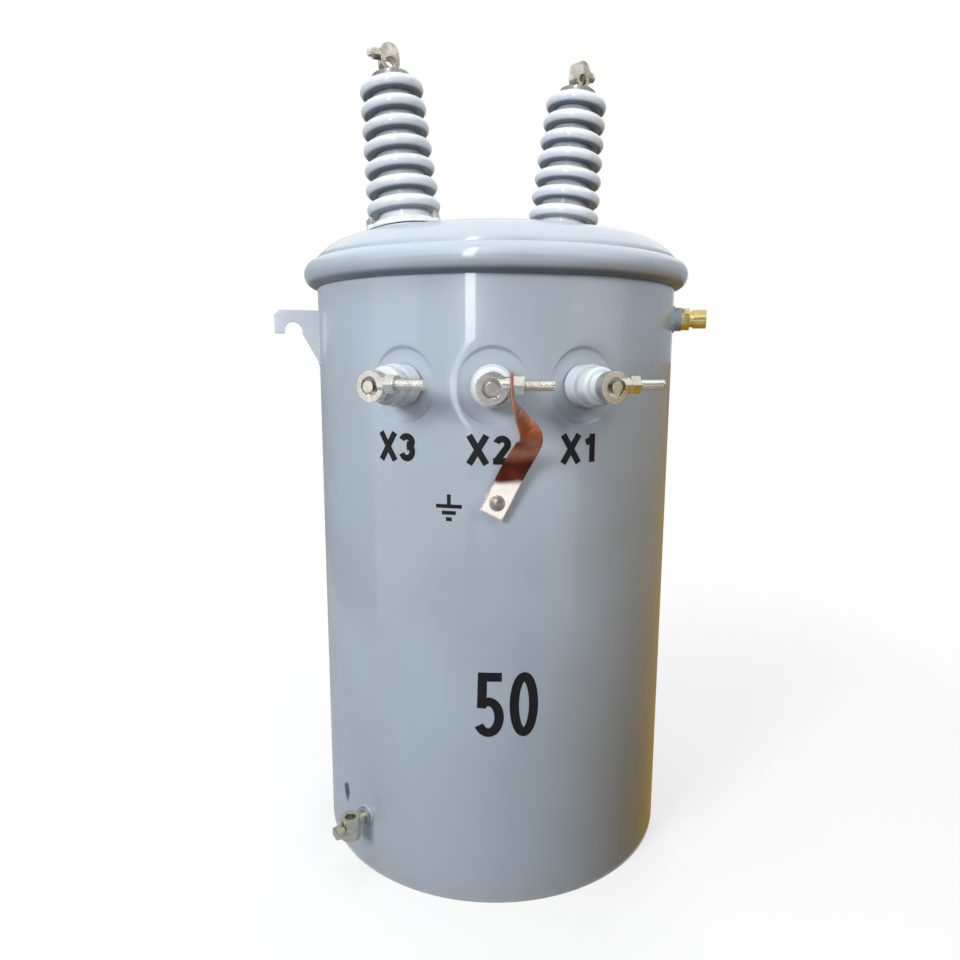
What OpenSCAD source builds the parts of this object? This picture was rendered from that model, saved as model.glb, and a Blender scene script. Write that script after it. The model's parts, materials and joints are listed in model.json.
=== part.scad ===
// Pole mounted distribution transformer, single phase, round tank, standing on its base
// Millimetres, Z up, the row of low voltage bushings faces -Y, the tank axis is the Z axis

/* [Tank] */
// Outside radius of the tank wall
tank_r = 230; // [224:1:240]
// Thickness of the tank wall
tank_wall = 3; // [2.5:0.5:5]
// Thickness of the tank bottom
bottom_t = 4; // [3:0.5:8]
// Height of the joint between tank and cover
seam_z = 734; // [715:1:760]
// Reach of the tank lip and the cover rim past the wall
lip_reach = 9; // [6:0.5:10]
// Thickness of the tank lip
lip_t = 3; // [2:0.5:4]
// Thickness of the cover gasket
gasket_t = 5; // [3:0.5:6]
// Radius of the sealed pack of core and coils
core_r = 165; // [120:1:200]
// Height of the sealed pack of core and coils
core_h = 430; // [300:1:520]

/* [Cover] */
// Thickness of the cover sheet
cover_t = 3; // [2:0.5:4]
// Radius of the shallow crown of the cover
crown_r = 886; // [800:1:1000]
// Radius of the knuckle between crown and edge
knuckle_r = 74; // [60:1:85]
// Radius of the small bend above the rim
edge_r = 9.5; // [7:0.5:12]
// Slope of the cover where the small bend meets the knuckle
edge_slope = 45.8; // [40:0.1:52]
// Number of steps in each bend of the cover section
bend_steps = 12; // [8:1:16]

/* [Cover band] */
// Outside radius of the half round section of the band
band_r = 16; // [14.5:0.5:18]
// Sheet thickness of the band
band_t = 2.5; // [2:0.5:3]
// Clear gap between the two ends of the band
band_gap = 26; // [18:1:34]
// Thickness of the ear on each end of the band
ear_t = 6; // [4:0.5:8]
// Reach of the ears past the band
ear_reach = 24; // [18:1:30]
// Height of the ears
ear_h = 28; // [24:1:32]
// Direction of the band ends seen from above
band_azimuth = 118; // [105:1:130]

/* [High voltage bushings] */
// Distance of each bushing foot in from the tank wall
hv_inset = 111; // [104:1:118]
// Direction of the left bushing seen from above
hv_left_azimuth = 173; // [166:0.5:180]
// Direction of the right bushing seen from above
hv_right_azimuth = 39.5; // [33:0.5:46]
// Lean of the bushings from upright
hv_tilt = 7.9; // [6.5:0.1:9]
// Direction in which the left bushing leans
hv_left_lean_azimuth = 138; // [130:1:146]
// Direction in which the right bushing leans
hv_right_lean_azimuth = 43; // [35:1:51]
// Turn of the left terminal about its bushing
hv_left_turn_angle = 67; // [50:1:80]
// Height of the pressed seat above the cover
hv_seat_h = 4; // [3.5:0.25:6]
// Radius of the pressed seat
hv_seat_r = 58; // [56:0.5:62]
// Thickness of the gasket under each bushing
hv_gasket_t = 2.5; // [2:0.25:4]
// Radius of the foot of the porcelain
hv_foot_r = 45; // [43.5:0.5:47]
// Height of the foot of the porcelain
hv_foot_h = 8; // [6:0.5:9]
// Outside radius of the clamp ring
hv_ring_out_r = 55; // [53:0.5:56]
// Height of the upright edge of the clamp ring
hv_ring_edge_h = 2; // [1.5:0.25:3]
// Radius of the clamp ring at its top
hv_ring_top_r = 44.5; // [43.5:0.5:46]
// Number of studs on the clamp ring
hv_studs = 3; // [3:1:4]
// Direction of the rearmost stud seen from above
hv_stud_azimuth = 90; // [80:1:100]
// Radius of the boss under each stud
hv_boss_r = 7.5; // [7:0.25:8]
// Height of the boss under each stud
hv_boss_h = 7; // [6:0.5:8]
// Inside radius of the lip of the clamp ring
hv_lip_r = 41; // [39:0.5:43]
// Thickness of the lip of the clamp ring
hv_ring_t = 3; // [2:0.25:4]
// Radius of the porcelain between the low sheds
hv_core_low_r = 34; // [31:0.5:36]
// Radius of the porcelain between the top sheds
hv_core_top_r = 27; // [25:0.5:30]
// Number of sheds on each bushing
hv_sheds = 7; // [6:1:7]
// Height of the lowest shed above the seat
hv_first_shed = 33.5; // [31:0.5:36]
// Pitch of the sheds
hv_pitch = 25.3; // [24:0.1:27]
// Radius of the lowest shed
hv_low_shed_r = 48.5; // [46:0.5:51]
// Radius of the top shed
hv_top_shed_r = 42; // [40:0.5:45]
// Radius of the rounded rim of a shed
hv_tip_r = 8; // [6:0.25:8.5]
// Rise of the sloping top of a shed
hv_shed_rise = 2.5; // [1.5:0.25:3.5]
// Rise of the sloping top of the porcelain to the cap
hv_top_rise = 6; // [4:0.25:8]
// Radius of the metal cap
hv_cap_r = 25; // [24:0.5:28]
// Height of the metal cap rim
hv_cap_h = 5; // [3:0.5:6]
// Height of the sloping top of the cap
hv_cap_rise = 4; // [3:0.5:6]
// Radius of the terminal neck
hv_neck_r = 7; // [6:0.25:7.25]
// Height of the conductor hole above the cap
hv_eye_z = 12; // [11:0.5:14]
// Height of the round top of the terminal above the hole
hv_eye_rise = 12; // [10:0.5:14]
// Half width of the terminal eye
hv_eye_r = 12.5; // [11.5:0.5:13]
// Radius of the conductor hole in the terminal eye
hv_hole_r = 7; // [5:0.25:7.5]
// Depth of the terminal eye along its hole
hv_eye_t = 15; // [14.5:0.5:18]
// Radius of the clamp screw on the side of the eye
hv_screw_r = 4.5; // [4:0.25:5]
// Reach of the clamp screw past the eye
hv_screw_reach = 15; // [12:0.5:17]
// Width of the clamp nut across its corners
hv_nut_w = 16; // [14:0.5:18]
// Thickness of the clamp nut
hv_nut_t = 9; // [7:0.5:11]

/* [Low voltage bushings] */
// Distance of the row of low voltage bushings below the joint
lv_drop = 130.5; // [120:0.5:142]
// Direction of the middle low voltage bushing from the front, to the right
lv_mid_azimuth = -0.5; // [-1:0.1:0]
// Angle between neighbouring low voltage bushings
lv_step_azimuth = 24.9; // [24:0.1:28]
// Radius of the flat seat pressed in the tank wall
lv_seat_r = 38; // [36:0.5:40]
// Depth of the flat seat
lv_seat_depth = 3; // [2.5:0.25:3.5]
// Width of the sloping border of the flat seat
lv_seat_slope = 4; // [3:0.5:6]
// Radius of the gasket
lv_gasket_r = 21; // [18:0.5:21.5]
// Thickness of the gasket
lv_gasket_t = 2; // [1.5:0.25:3]
// Radius of the porcelain collar
lv_collar_r = 22.5; // [22:0.5:24]
// Length of the porcelain collar
lv_collar_l = 19; // [16:0.5:21]
// Radius of the porcelain neck
lv_neck_r = 17; // [14:0.5:19]
// Length of the porcelain neck
lv_neck_l = 6; // [5:0.5:8]
// Radius of the porcelain shed
lv_shed_r = 20.5; // [20:0.25:21.75]
// Length of the porcelain shed
lv_shed_l = 13; // [11:0.5:15]
// Radius of the rounded rim of the porcelain shed
lv_tip_r = 4; // [3:0.25:5]
// Radius of the porcelain nose
lv_nose_r = 15; // [13.5:0.5:16]
// Length of the porcelain nose
lv_nose_l = 9; // [7:0.5:11]
// Radius of the shoulder on the stud
lv_shoulder_r = 12.5; // [11.5:0.25:13]
// Length of the shoulder on the stud
lv_shoulder_l = 4; // [3:0.5:6]
// Radius of the stud
lv_stud_r = 6; // [5:0.25:6.5]
// Reach of the stud past the eye
lv_stud_reach = 3; // [2:0.5:6]
// Thickness of the eye along the stud
lv_eye_t = 12; // [11.5:0.5:13]
// Radius of the hole in the eye
lv_hole_r = 10; // [9:0.25:10.5]
// Width of metal round the hole
lv_eye_wall = 6; // [5:0.25:6.25]
// Height of the shank axis above the stud axis
lv_shank_rise = 2.5; // [1:0.25:4]
// Radius of the shank of the eye bolt in the nut
lv_shank_r = 5; // [4:0.25:5]
// Radius of the free end of the shank over its thread
lv_free_r = 5.25; // [5.25:0.25:6]
// Distance of the shank end from the stud axis
lv_shank_end = 61; // [55:0.5:65]
// Distance of the collar face on the shank from the stud axis
lv_collar_face = 18; // [17.5:0.25:19.5]
// Radius of the collar on the shank
lv_shank_collar_r = 8.5; // [7:0.25:9.5]
// Width of the hexagon nut across its corners
lv_nut_w = 20.5; // [18:0.5:22]
// Thickness of the hexagon nut
lv_nut_t = 11; // [9:0.5:13]

/* [Ground strap] */
// Width of the copper strap
strap_w = 27.5; // [22:0.5:29]
// Thickness of the copper strap
strap_t = 2.5; // [2:0.25:3]
// Height of the strap end above the shank that holds it
strap_top = 13; // [11:0.5:15]
// Length of the straight part below the shank
strap_drop = 12; // [11:0.5:18]
// Pull of the upper bend
strap_pull_top = 62; // [50:1:70]
// Pull of the lower bend
strap_pull_low = 58; // [45:1:65]
// Length of the flat tail on the ground pad
strap_tail = 46; // [42:1:52]
// Distance from the pad centre to the end of the tail
strap_end = 16; // [14:0.5:20]
// Lean of the tail from upright
strap_angle = 26; // [20:1:32]
// Lean of the strap below the shank from upright
strap_top_angle = 25; // [18:1:32]
// Clear space round the shank in the strap
strap_clear = 0.4; // [0.2:0.1:0.8]
// Number of steps along the bends of the strap
strap_steps = 26; // [16:1:32]
// Distance of the ground pad centre below the row of bushings
pad_drop = 123.5; // [110:0.5:135]
// Direction of the ground pad from the middle bushing, to the right
pad_azimuth = 1.4; // [0.8:0.1:2.2]
// Radius of the ground pad
pad_r = 13; // [12:0.5:15]
// Reach of the ground pad past the tank wall
pad_reach = 5; // [4:0.5:7]

/* [Lifting lugs] */
// Direction of the left lug seen from above
lug_azimuth = 200; // [192:1:206]
// Direction of the right lug seen from above
lug_right_azimuth = 25; // [16:1:30]
// Thickness of the lug plates
lug_t = 10; // [8:0.5:14]
// Distance of the flat top of the lugs below the joint
lug_drop = 45; // [36:1:60]
// Height of the lug from its foot to its flat top
lug_h = 66; // [60:1:75]
// Reach of the lugs past the tank wall
lug_reach = 54; // [48:0.5:60]
// Depth of the arm above the notch
lug_arm = 14; // [12:0.5:18]
// Radius of the notch
lug_notch_r = 11; // [9:0.5:12]
// Width of the nose outside the notch
lug_nose = 11; // [8:0.5:14]
// Length of the nose below the arm
lug_nose_drop = 14; // [11.5:0.5:18]

/* [Pressure relief] */
// Direction of the relief valve from the front, to the right
relief_azimuth = 77; // [72:1:82]
// Distance of the relief valve below the joint
relief_drop = 53; // [44:1:64]
// Radius of the welded boss
relief_boss_r = 14.5; // [13:0.5:17]
// Reach of the boss past the tank wall
relief_boss_reach = 10; // [8:0.5:16]
// Width of the brass hexagon across its corners
relief_hex_w = 27; // [24:0.5:28]
// Thickness of the brass hexagon
relief_hex_t = 10; // [8:0.5:12]
// Radius of the brass body
relief_body_r = 10; // [8:0.5:11]
// Length of the brass body
relief_body_l = 4; // [3:0.5:9]
// Radius of the brass cap
relief_cap_r = 11.5; // [10:0.5:13]
// Length of the brass cap
relief_cap_l = 16; // [10:0.5:20]

/* [Tank ground] */
// Direction of the tank ground from the front, to the left
earth_azimuth = 42.5; // [38:0.5:50]
// Height of the tank ground
earth_z = 71; // [60:1:85]
// Radius of the welded boss
earth_boss_r = 11; // [9:0.5:13]
// Reach of the boss past the tank wall
earth_boss_reach = 7; // [5:0.5:9]
// Radius of the connector stem
earth_stem_r = 7; // [6:0.25:8]
// Length of the connector stem
earth_stem_l = 6; // [4:0.5:8]
// Outside radius of the connector eye
earth_eye_r = 12; // [11:0.5:13]
// Radius of the conductor hole in the connector
earth_hole_r = 6.5; // [5:0.25:7]
// Height of the connector eye along its hole
earth_eye_t = 26; // [20:0.5:30]
// Distance of the eye centre below the boss centre
earth_eye_drop = 4; // [2:0.25:5]
// Radius of the clamp screw
earth_screw_r = 5; // [4:0.25:6]
// Reach of the clamp screw past the eye
earth_screw_reach = 3; // [2:0.5:6]
// Width of the hexagon head across its corners
earth_head_w = 17; // [15:0.5:19]
// Thickness of the hexagon head
earth_head_t = 6; // [5:0.5:9]

/* [Pole hangers] */
// Height of the lower hanger bolt
hanger_low_z = 268; // [250:1:290]
// Upright distance between the two hanger bolts
hanger_pitch = 285.75; // [280:0.25:292]
// Distance of the pole face from the tank wall
hanger_reach = 62; // [55:0.5:70]
// Width of the pole face
hanger_w = 104; // [96:1:116]
// Height of the pole face
hanger_h = 92; // [80:1:104]
// Plate thickness of the hangers
hanger_t = 7; // [5:0.5:9]
// Half width of the upright bolt slot
hanger_slot_r = 10; // [8:0.25:12]
// Length of the upright bolt slot
hanger_slot_l = 46; // [36:1:54]

/* [Hidden] */
$fn = 96;
fine = 360;
over = tank_r / 100;
lip_top_z = seam_z - gasket_t / 2;
rim_low_z = seam_z + gasket_t / 2;
skirt_z = seam_z + band_r;
lug_top_z = seam_z - lug_drop;
relief_z = seam_z - relief_drop;
knuckle_x = tank_r - edge_r + (edge_r - knuckle_r) * sin(edge_slope);
knuckle_z = skirt_z + (edge_r - knuckle_r) * cos(edge_slope);
crown_slope = asin(knuckle_x / (crown_r - knuckle_r));
crown_z = knuckle_z - (crown_r - knuckle_r) * cos(crown_slope);
hv_ring_r = tank_r - hv_inset;
hv_foot_z = crown_z + sqrt(crown_r * crown_r - hv_ring_r * hv_ring_r);
hv_shed_span = hv_sheds - 1;
hv_neck_top = hv_first_shed + hv_pitch * hv_shed_span + hv_tip_r + hv_top_rise;
hv_cap_z = hv_neck_top + hv_cap_h + hv_cap_rise;
lv_z = seam_z - lv_drop;
lv_seat_x = tank_r - lv_seat_depth;
lv_collar_x = lv_seat_x + lv_gasket_t;
lv_neck_x = lv_collar_x + lv_collar_l;
lv_shed_x = lv_neck_x + lv_neck_l;
lv_nose_x = lv_shed_x + lv_shed_l;
lv_stud_x = lv_nose_x + lv_nose_l;
lv_eye_x = lv_stud_x + lv_shoulder_l;
lv_shank_x = lv_eye_x + lv_eye_t / 2;
lv_nut_y = lv_collar_face + strap_t;
strap_x = lv_collar_face + strap_t / 2;
pad_z = lv_z - pad_drop;
pad_face = tank_r + pad_reach;
lv_shank_z = lv_z + lv_shank_rise;
front = -90;

// point of an arc about a centre, angle measured from the outward direction
function arc_point(c, r, a) = [c[0] + r * cos(a), c[1] + r * sin(a)];

// one side of the cover section from the rim to the crown, set in by a depth
function cover_side(d) = concat(
    [for (i = [0 : bend_steps])
        arc_point([tank_r - edge_r, skirt_z], edge_r - d, (90 - edge_slope) * i / bend_steps)],
    [for (i = [1 : bend_steps])
        arc_point([knuckle_x, knuckle_z], knuckle_r - d,
            90 - edge_slope + (edge_slope - crown_slope) * i / bend_steps)],
    [for (i = [1 : bend_steps])
        arc_point([0, crown_z], crown_r - d, 90 - crown_slope + crown_slope * i / bend_steps)]);

// strap geometry as points and unit directions
function blend(a, b, t) = a + (b - a) * t;
function unit(v) = v / norm(v);
function bezier(p, t) = blend(
    blend(blend(p[0], p[1], t), blend(p[1], p[2], t), t),
    blend(blend(p[1], p[2], t), blend(p[2], p[3], t), t), t);
function bezier_way(p, t) = unit(blend(
    blend(p[1] - p[0], p[2] - p[1], t), blend(p[2] - p[1], p[3] - p[2], t), t));
tail_way = [sin(strap_angle), 0, cos(strap_angle)];
tail_wide = [cos(strap_angle), 0, -sin(strap_angle)];
top_wide = [0, 1, 0];
strap_high = [strap_x, -lv_shank_x, lv_shank_z + strap_top];
strap_low = [strap_x, -lv_shank_x, lv_shank_z - strap_drop];
pad_mid = [pad_face * sin(pad_azimuth), -pad_face - strap_t / 2, pad_z];
tail_low = pad_mid - tail_way * strap_end;
tail_high = tail_low + tail_way * strap_tail;
strap_curve = [
    strap_low,
    strap_low + strap_pull_top * [sin(strap_top_angle), 0, -cos(strap_top_angle)],
    tail_high + tail_way * strap_pull_low,
    tail_high];
strap_points = concat(
    [strap_high],
    [for (i = [0 : strap_steps]) bezier(strap_curve, i / strap_steps)],
    [tail_low]);
strap_ways = concat(
    [[0, 0, -1]],
    [for (i = [0 : strap_steps]) bezier_way(strap_curve, i / strap_steps)],
    [-tail_way]);
strap_turn_shares = [[0, 0], [0.12, 0.36], [0.45, 0.48], [0.75, 0.88], [1, 1]];
strap_turns = concat([0], [for (i = [0 : strap_steps]) lookup(i / strap_steps, strap_turn_shares)], [1]);
strap_last = len(strap_points) - 1;
function strap_raw(t) = top_wide * cos(90 * t) + tail_wide * sin(90 * t);
function strap_wide(i) = unit(strap_raw(strap_turns[i])
    - strap_ways[i] * (strap_raw(strap_turns[i]) * strap_ways[i]));
function strap_thick(i) = cross(strap_wide(i), strap_ways[i]);
function strap_ring(i) = [
    strap_points[i] - strap_wide(i) * strap_w / 2 - strap_thick(i) * strap_t / 2,
    strap_points[i] + strap_wide(i) * strap_w / 2 - strap_thick(i) * strap_t / 2,
    strap_points[i] + strap_wide(i) * strap_w / 2 + strap_thick(i) * strap_t / 2,
    strap_points[i] - strap_wide(i) * strap_w / 2 + strap_thick(i) * strap_t / 2];

// direction in which a bushing leans, side 0 is left and side 1 is right
function lean_azimuth(side) = side == 0 ? hv_left_lean_azimuth : hv_right_lean_azimuth;

// places a piece on the pressed seat of a bushing
module on_seat(side) {
    azimuth = side == 0 ? hv_left_azimuth : hv_right_azimuth;
    translate([hv_ring_r * cos(azimuth), hv_ring_r * sin(azimuth), hv_foot_z])
        rotate([0, 0, lean_azimuth(side)])
            rotate([0, hv_tilt, 0])
                translate([0, 0, hv_seat_h])
                    children();
}

// places a terminal piece on the cap of a bushing
module on_cap(side) {
    on_seat(side)
        translate([0, 0, hv_cap_z])
            rotate([0, 0, side == 0 ? hv_left_turn_angle : 0])
                children();
}

// turns a piece drawn along +X to a direction from the front, to the right
module on_wall(from_front, z) {
    translate([0, 0, z])
        rotate([0, 0, front + from_front])
            children();
}

// places a piece drawn along +X at a low voltage bushing, counted from the middle to the right
module on_lv(i) {
    on_wall(lv_mid_azimuth + i * lv_step_azimuth, lv_z)
        children();
}

// a round bar along +X between two distances from the tank axis
module bar_x(r, x1, x2) {
    translate([x1, 0, 0])
        rotate([0, 90, 0])
            cylinder(r = r, h = x2 - x1);
}

// a hexagon along +X between two distances from the tank axis
module hex_x(w, x1, x2) {
    translate([x1, 0, 0])
        rotate([0, 90, 0])
            cylinder(d = w, h = x2 - x1, $fn = 6);
}

// the room that the tank takes up at a height, for cutting feet of welded pieces
module tank_room() {
    translate([0, 0, -seam_z])
        cylinder(r = tank_r, h = 2 * seam_z, $fn = fine);
}

// the round wall with its lip and a flat seat pressed in under each low voltage bushing
module tank_shell() {
    color("#b8bec6")
        difference() {
            union() {
                difference() {
                    union() {
                        cylinder(r = tank_r, h = lip_top_z);
                        translate([0, 0, lip_top_z - lip_t])
                            cylinder(r = tank_r + lip_reach, h = lip_t);
                    }
                    translate([0, 0, -over])
                        cylinder(r = tank_r - tank_wall, h = lip_top_z + 2 * over);
                }
                intersection() {
                    cylinder(r = tank_r - tank_wall / 2, h = lip_top_z);
                    for (i = [-1 : 1])
                        on_lv(i)
                            bar_x(lv_seat_r + 2 * lv_seat_slope, lv_seat_x - tank_wall, tank_r);
                }
            }
            for (i = [-1 : 1])
                on_lv(i)
                    translate([lv_seat_x, 0, 0])
                        rotate([0, 90, 0])
                            cylinder(r1 = lv_seat_r, r2 = lv_seat_r + 2 * lv_seat_slope,
                                h = 2 * lv_seat_depth);
        }
}

module tank_bottom() {
    color("#b0b6be")
        cylinder(r = tank_r - tank_wall, h = bottom_t);
}

module core_and_coils() {
    color("#6b5a45")
        translate([0, 0, bottom_t])
            cylinder(r = core_r, h = core_h);
}

module cover_gasket() {
    color("#2b2b2b")
        translate([0, 0, lip_top_z])
            difference() {
                cylinder(r = tank_r + lip_reach, h = gasket_t);
                translate([0, 0, -over])
                    cylinder(r = tank_r - tank_wall, h = gasket_t + 2 * over);
            }
}

module cover_sheet(d) {
    rotate_extrude()
        polygon(concat(
            [[0, rim_low_z], [tank_r - d, rim_low_z]],
            cover_side(d)));
}

// a domed sheet with a flat rim and a pressed seat under each bushing
module cover() {
    color("#b8bec6")
        difference() {
            union() {
                cover_sheet(0);
                translate([0, 0, rim_low_z])
                    cylinder(r = tank_r + lip_reach, h = lip_t);
                for (side = [0, 1])
                    on_seat(side)
                        translate([0, 0, -3 * hv_seat_h])
                            cylinder(r = hv_seat_r, h = 3 * hv_seat_h);
            }
            translate([0, 0, -over])
                cylinder(r = tank_r - cover_t, h = rim_low_z + over);
            cover_sheet(cover_t);
        }
}

module cover_band() {
    color("#bcc2ca")
        union() {
            difference() {
                translate([0, 0, seam_z])
                    rotate_extrude()
                        translate([tank_r, 0])
                            circle(r = band_r);
                translate([0, 0, seam_z])
                    rotate_extrude()
                        translate([tank_r, 0])
                            circle(r = band_r - band_t);
                tank_room();
                rotate([0, 0, band_azimuth])
                    translate([0, -band_gap / 2, 0])
                        cube([2 * tank_r, band_gap, 2 * seam_z]);
            }
            rotate([0, 0, band_azimuth])
                for (side = [-1, 1])
                    translate([tank_r + band_r - band_t, side * (band_gap + ear_t) / 2 - ear_t / 2,
                        seam_z - ear_h / 2])
                        cube([ear_reach, ear_t, ear_h]);
        }
}

module hv_gaskets() {
    color("#303030")
        for (side = [0, 1])
            on_seat(side)
                cylinder(r = hv_ring_out_r, h = hv_gasket_t);
}

// a sloping ring over the foot of each bushing with a boss for each stud
module hv_clamp_rings() {
    color("#a9afb7")
        for (side = [0, 1])
            on_seat(side)
                translate([0, 0, hv_gasket_t])
                    difference() {
                        union() {
                            cylinder(r = hv_ring_out_r, h = hv_ring_edge_h);
                            translate([0, 0, hv_ring_edge_h])
                                cylinder(r1 = hv_ring_out_r, r2 = hv_ring_top_r,
                                    h = hv_foot_h + hv_ring_t - hv_ring_edge_h);
                            rotate([0, 0, hv_stud_azimuth - lean_azimuth(side)])
                                for (i = [0 : hv_studs - 1])
                                    rotate([0, 0, 360 * i / hv_studs])
                                        translate([hv_ring_out_r - hv_boss_r, 0, 0])
                                            cylinder(r = hv_boss_r, h = hv_boss_h);
                        }
                        translate([0, 0, -over])
                            cylinder(r = hv_foot_r, h = hv_foot_h + over);
                        cylinder(r = hv_lip_r, h = hv_foot_h + hv_ring_t + over);
                    }
}

// radius of a shed counted from the lowest
function shed_r(i) = hv_low_shed_r + (hv_top_shed_r - hv_low_shed_r) * i / hv_shed_span;

// radius of the body of the porcelain at a shed counted from the lowest
function body_r(i) = hv_core_low_r + (hv_core_top_r - hv_core_low_r) * i / hv_shed_span;

module hv_porcelain() {
    translate([0, 0, hv_gasket_t])
        cylinder(r = hv_foot_r, h = hv_foot_h);
    translate([0, 0, hv_gasket_t])
        cylinder(r = hv_lip_r, h = hv_foot_h + hv_ring_t);
    translate([0, 0, hv_gasket_t])
        cylinder(r = hv_core_low_r, h = hv_first_shed);
    translate([0, 0, hv_first_shed])
        cylinder(r1 = hv_core_low_r, r2 = hv_core_top_r, h = hv_pitch * hv_shed_span);
    for (i = [0 : hv_shed_span])
        translate([0, 0, hv_first_shed + hv_pitch * i]) {
            rotate_extrude()
                translate([shed_r(i) - hv_tip_r, 0])
                    circle(r = hv_tip_r);
            translate([0, 0, -hv_tip_r])
                cylinder(r = shed_r(i) - hv_tip_r, h = 2 * hv_tip_r);
            translate([0, 0, hv_tip_r])
                cylinder(r1 = shed_r(i) - hv_tip_r, r2 = i == hv_shed_span ? hv_cap_r : body_r(i),
                    h = i == hv_shed_span ? hv_top_rise : hv_shed_rise);
        }
}

module hv_porcelain_left() {
    color("#e4e8ec")
        on_seat(0)
            hv_porcelain();
}

module hv_porcelain_right() {
    color("#e4e8ec")
        on_seat(1)
            hv_porcelain();
}

module hv_caps() {
    color("#8c8f8c")
        for (side = [0, 1])
            on_seat(side)
                translate([0, 0, hv_neck_top]) {
                    cylinder(r = hv_cap_r, h = hv_cap_h);
                    translate([0, 0, hv_cap_h])
                        cylinder(r1 = hv_cap_r, r2 = hv_neck_r + hv_cap_rise, h = hv_cap_rise);
                }
}

// a tall clamp eye with the conductor hole low in it
module hv_terminal() {
    difference() {
        union() {
            cylinder(r = hv_neck_r, h = hv_eye_z);
            translate([-hv_eye_r, -hv_eye_t / 2, hv_eye_z])
                cube([2 * hv_eye_r, hv_eye_t, hv_eye_rise]);
            for (z = [hv_eye_z, hv_eye_z + hv_eye_rise])
                translate([0, hv_eye_t / 2, z])
                    rotate([90, 0, 0])
                        cylinder(r = hv_eye_r, h = hv_eye_t);
        }
        translate([0, hv_eye_t, hv_eye_z])
            rotate([90, 0, 0])
                cylinder(r = hv_hole_r, h = 2 * hv_eye_t);
    }
}

module hv_terminal_left() {
    color("#c9c6b8")
        on_cap(0)
            hv_terminal();
}

module hv_terminal_right() {
    color("#c9c6b8")
        on_cap(1)
            hv_terminal();
}

module hv_clamp_screws() {
    color("#a39d84")
        for (side = [0, 1])
            on_cap(side)
                translate([0, 0, hv_eye_z + hv_eye_rise]) {
                    bar_x(hv_screw_r, hv_eye_r, hv_eye_r + hv_screw_reach);
                    hex_x(hv_nut_w, hv_eye_r, hv_eye_r + hv_nut_t);
                }
}

module lv_gaskets() {
    color("#303030")
        for (i = [-1 : 1])
            on_lv(i)
                bar_x(lv_gasket_r, lv_seat_x, lv_collar_x);
}

module lv_porcelain() {
    bar_x(lv_collar_r, lv_collar_x, lv_neck_x);
    bar_x(lv_neck_r, lv_neck_x, lv_shed_x);
    bar_x(lv_shed_r - lv_tip_r, lv_shed_x, lv_nose_x);
    bar_x(lv_shed_r, lv_shed_x + lv_tip_r, lv_nose_x - lv_tip_r);
    for (x = [lv_shed_x + lv_tip_r, lv_nose_x - lv_tip_r])
        translate([x, 0, 0])
            rotate([0, 90, 0])
                rotate_extrude()
                    translate([lv_shed_r - lv_tip_r, 0])
                        circle(r = lv_tip_r);
    bar_x(lv_nose_r, lv_nose_x, lv_stud_x);
}

module lv_porcelain_x1() {
    color("#e4e8ec")
        on_lv(1)
            lv_porcelain();
}

module lv_porcelain_x2() {
    color("#e4e8ec")
        on_lv(0)
            lv_porcelain();
}

module lv_porcelain_x3() {
    color("#e4e8ec")
        on_lv(-1)
            lv_porcelain();
}

module lv_studs() {
    color("#cfcfc8")
        for (i = [-1 : 1])
            on_lv(i) {
                bar_x(lv_shoulder_r, lv_stud_x, lv_eye_x);
                bar_x(lv_stud_r, lv_stud_x, lv_eye_x + lv_eye_t + lv_stud_reach);
            }
}

// an eye round the stud with a threaded shank that points to the right
module lv_eyebolt(nut_face) {
    difference() {
        union() {
            bar_x(lv_hole_r + lv_eye_wall, lv_eye_x, lv_eye_x + lv_eye_t);
            translate([lv_shank_x, 0, lv_shank_rise])
                rotate([-90, 0, 0])
                    cylinder(r = lv_shank_collar_r, h = lv_collar_face);
            translate([lv_shank_x, 0, lv_shank_rise])
                rotate([-90, 0, 0])
                    cylinder(r = lv_shank_r, h = nut_face);
            translate([lv_shank_x, nut_face, lv_shank_rise])
                rotate([-90, 0, 0])
                    cylinder(r = lv_free_r, h = lv_shank_end - nut_face);
        }
        bar_x(lv_hole_r, lv_eye_x - lv_eye_t, lv_eye_x + 2 * lv_eye_t);
    }
}

module lv_eyebolt_x1() {
    color("#cfcfc8")
        on_lv(1)
            lv_eyebolt(lv_collar_face + lv_nut_t);
}

module lv_eyebolt_x2() {
    color("#cfcfc8")
        on_lv(0)
            lv_eyebolt(lv_nut_y + lv_nut_t);
}

module lv_eyebolt_x3() {
    color("#cfcfc8")
        on_lv(-1)
            lv_eyebolt(lv_collar_face + lv_nut_t);
}

// one nut on each shank, the middle one set out by the strap that it holds
module lv_nuts() {
    color("#d6d6d0")
        for (i = [-1 : 1])
            on_lv(i)
                translate([lv_shank_x, i == 0 ? lv_nut_y : lv_collar_face, lv_shank_rise])
                    rotate([-90, 0, 0])
                        difference() {
                            cylinder(d = lv_nut_w, h = lv_nut_t, $fn = 6);
                            translate([0, 0, -over])
                                cylinder(r = lv_shank_r, h = lv_nut_t + 2 * over);
                        }
}

module ground_strap() {
    color("#b5652f")
        rotate([0, 0, lv_mid_azimuth])
            difference() {
                polyhedron(
                    points = [for (i = [0 : strap_last]) each strap_ring(i)],
                    faces = concat(
                        [[0, 1, 2, 3]],
                        [for (i = [0 : strap_last - 1]) each [for (k = [0 : 3]) each [
                            [4 * i + k, 4 * i + 4 + k, 4 * i + (k + 1) % 4],
                            [4 * i + (k + 1) % 4, 4 * i + 4 + k, 4 * i + 4 + (k + 1) % 4]]]],
                        [[4 * strap_last + 3, 4 * strap_last + 2, 4 * strap_last + 1, 4 * strap_last]]));
                translate([0, -lv_shank_x, lv_shank_z])
                    rotate([0, 90, 0])
                        cylinder(r = lv_shank_r + strap_clear, h = lv_shank_end);
            }
}

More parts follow.
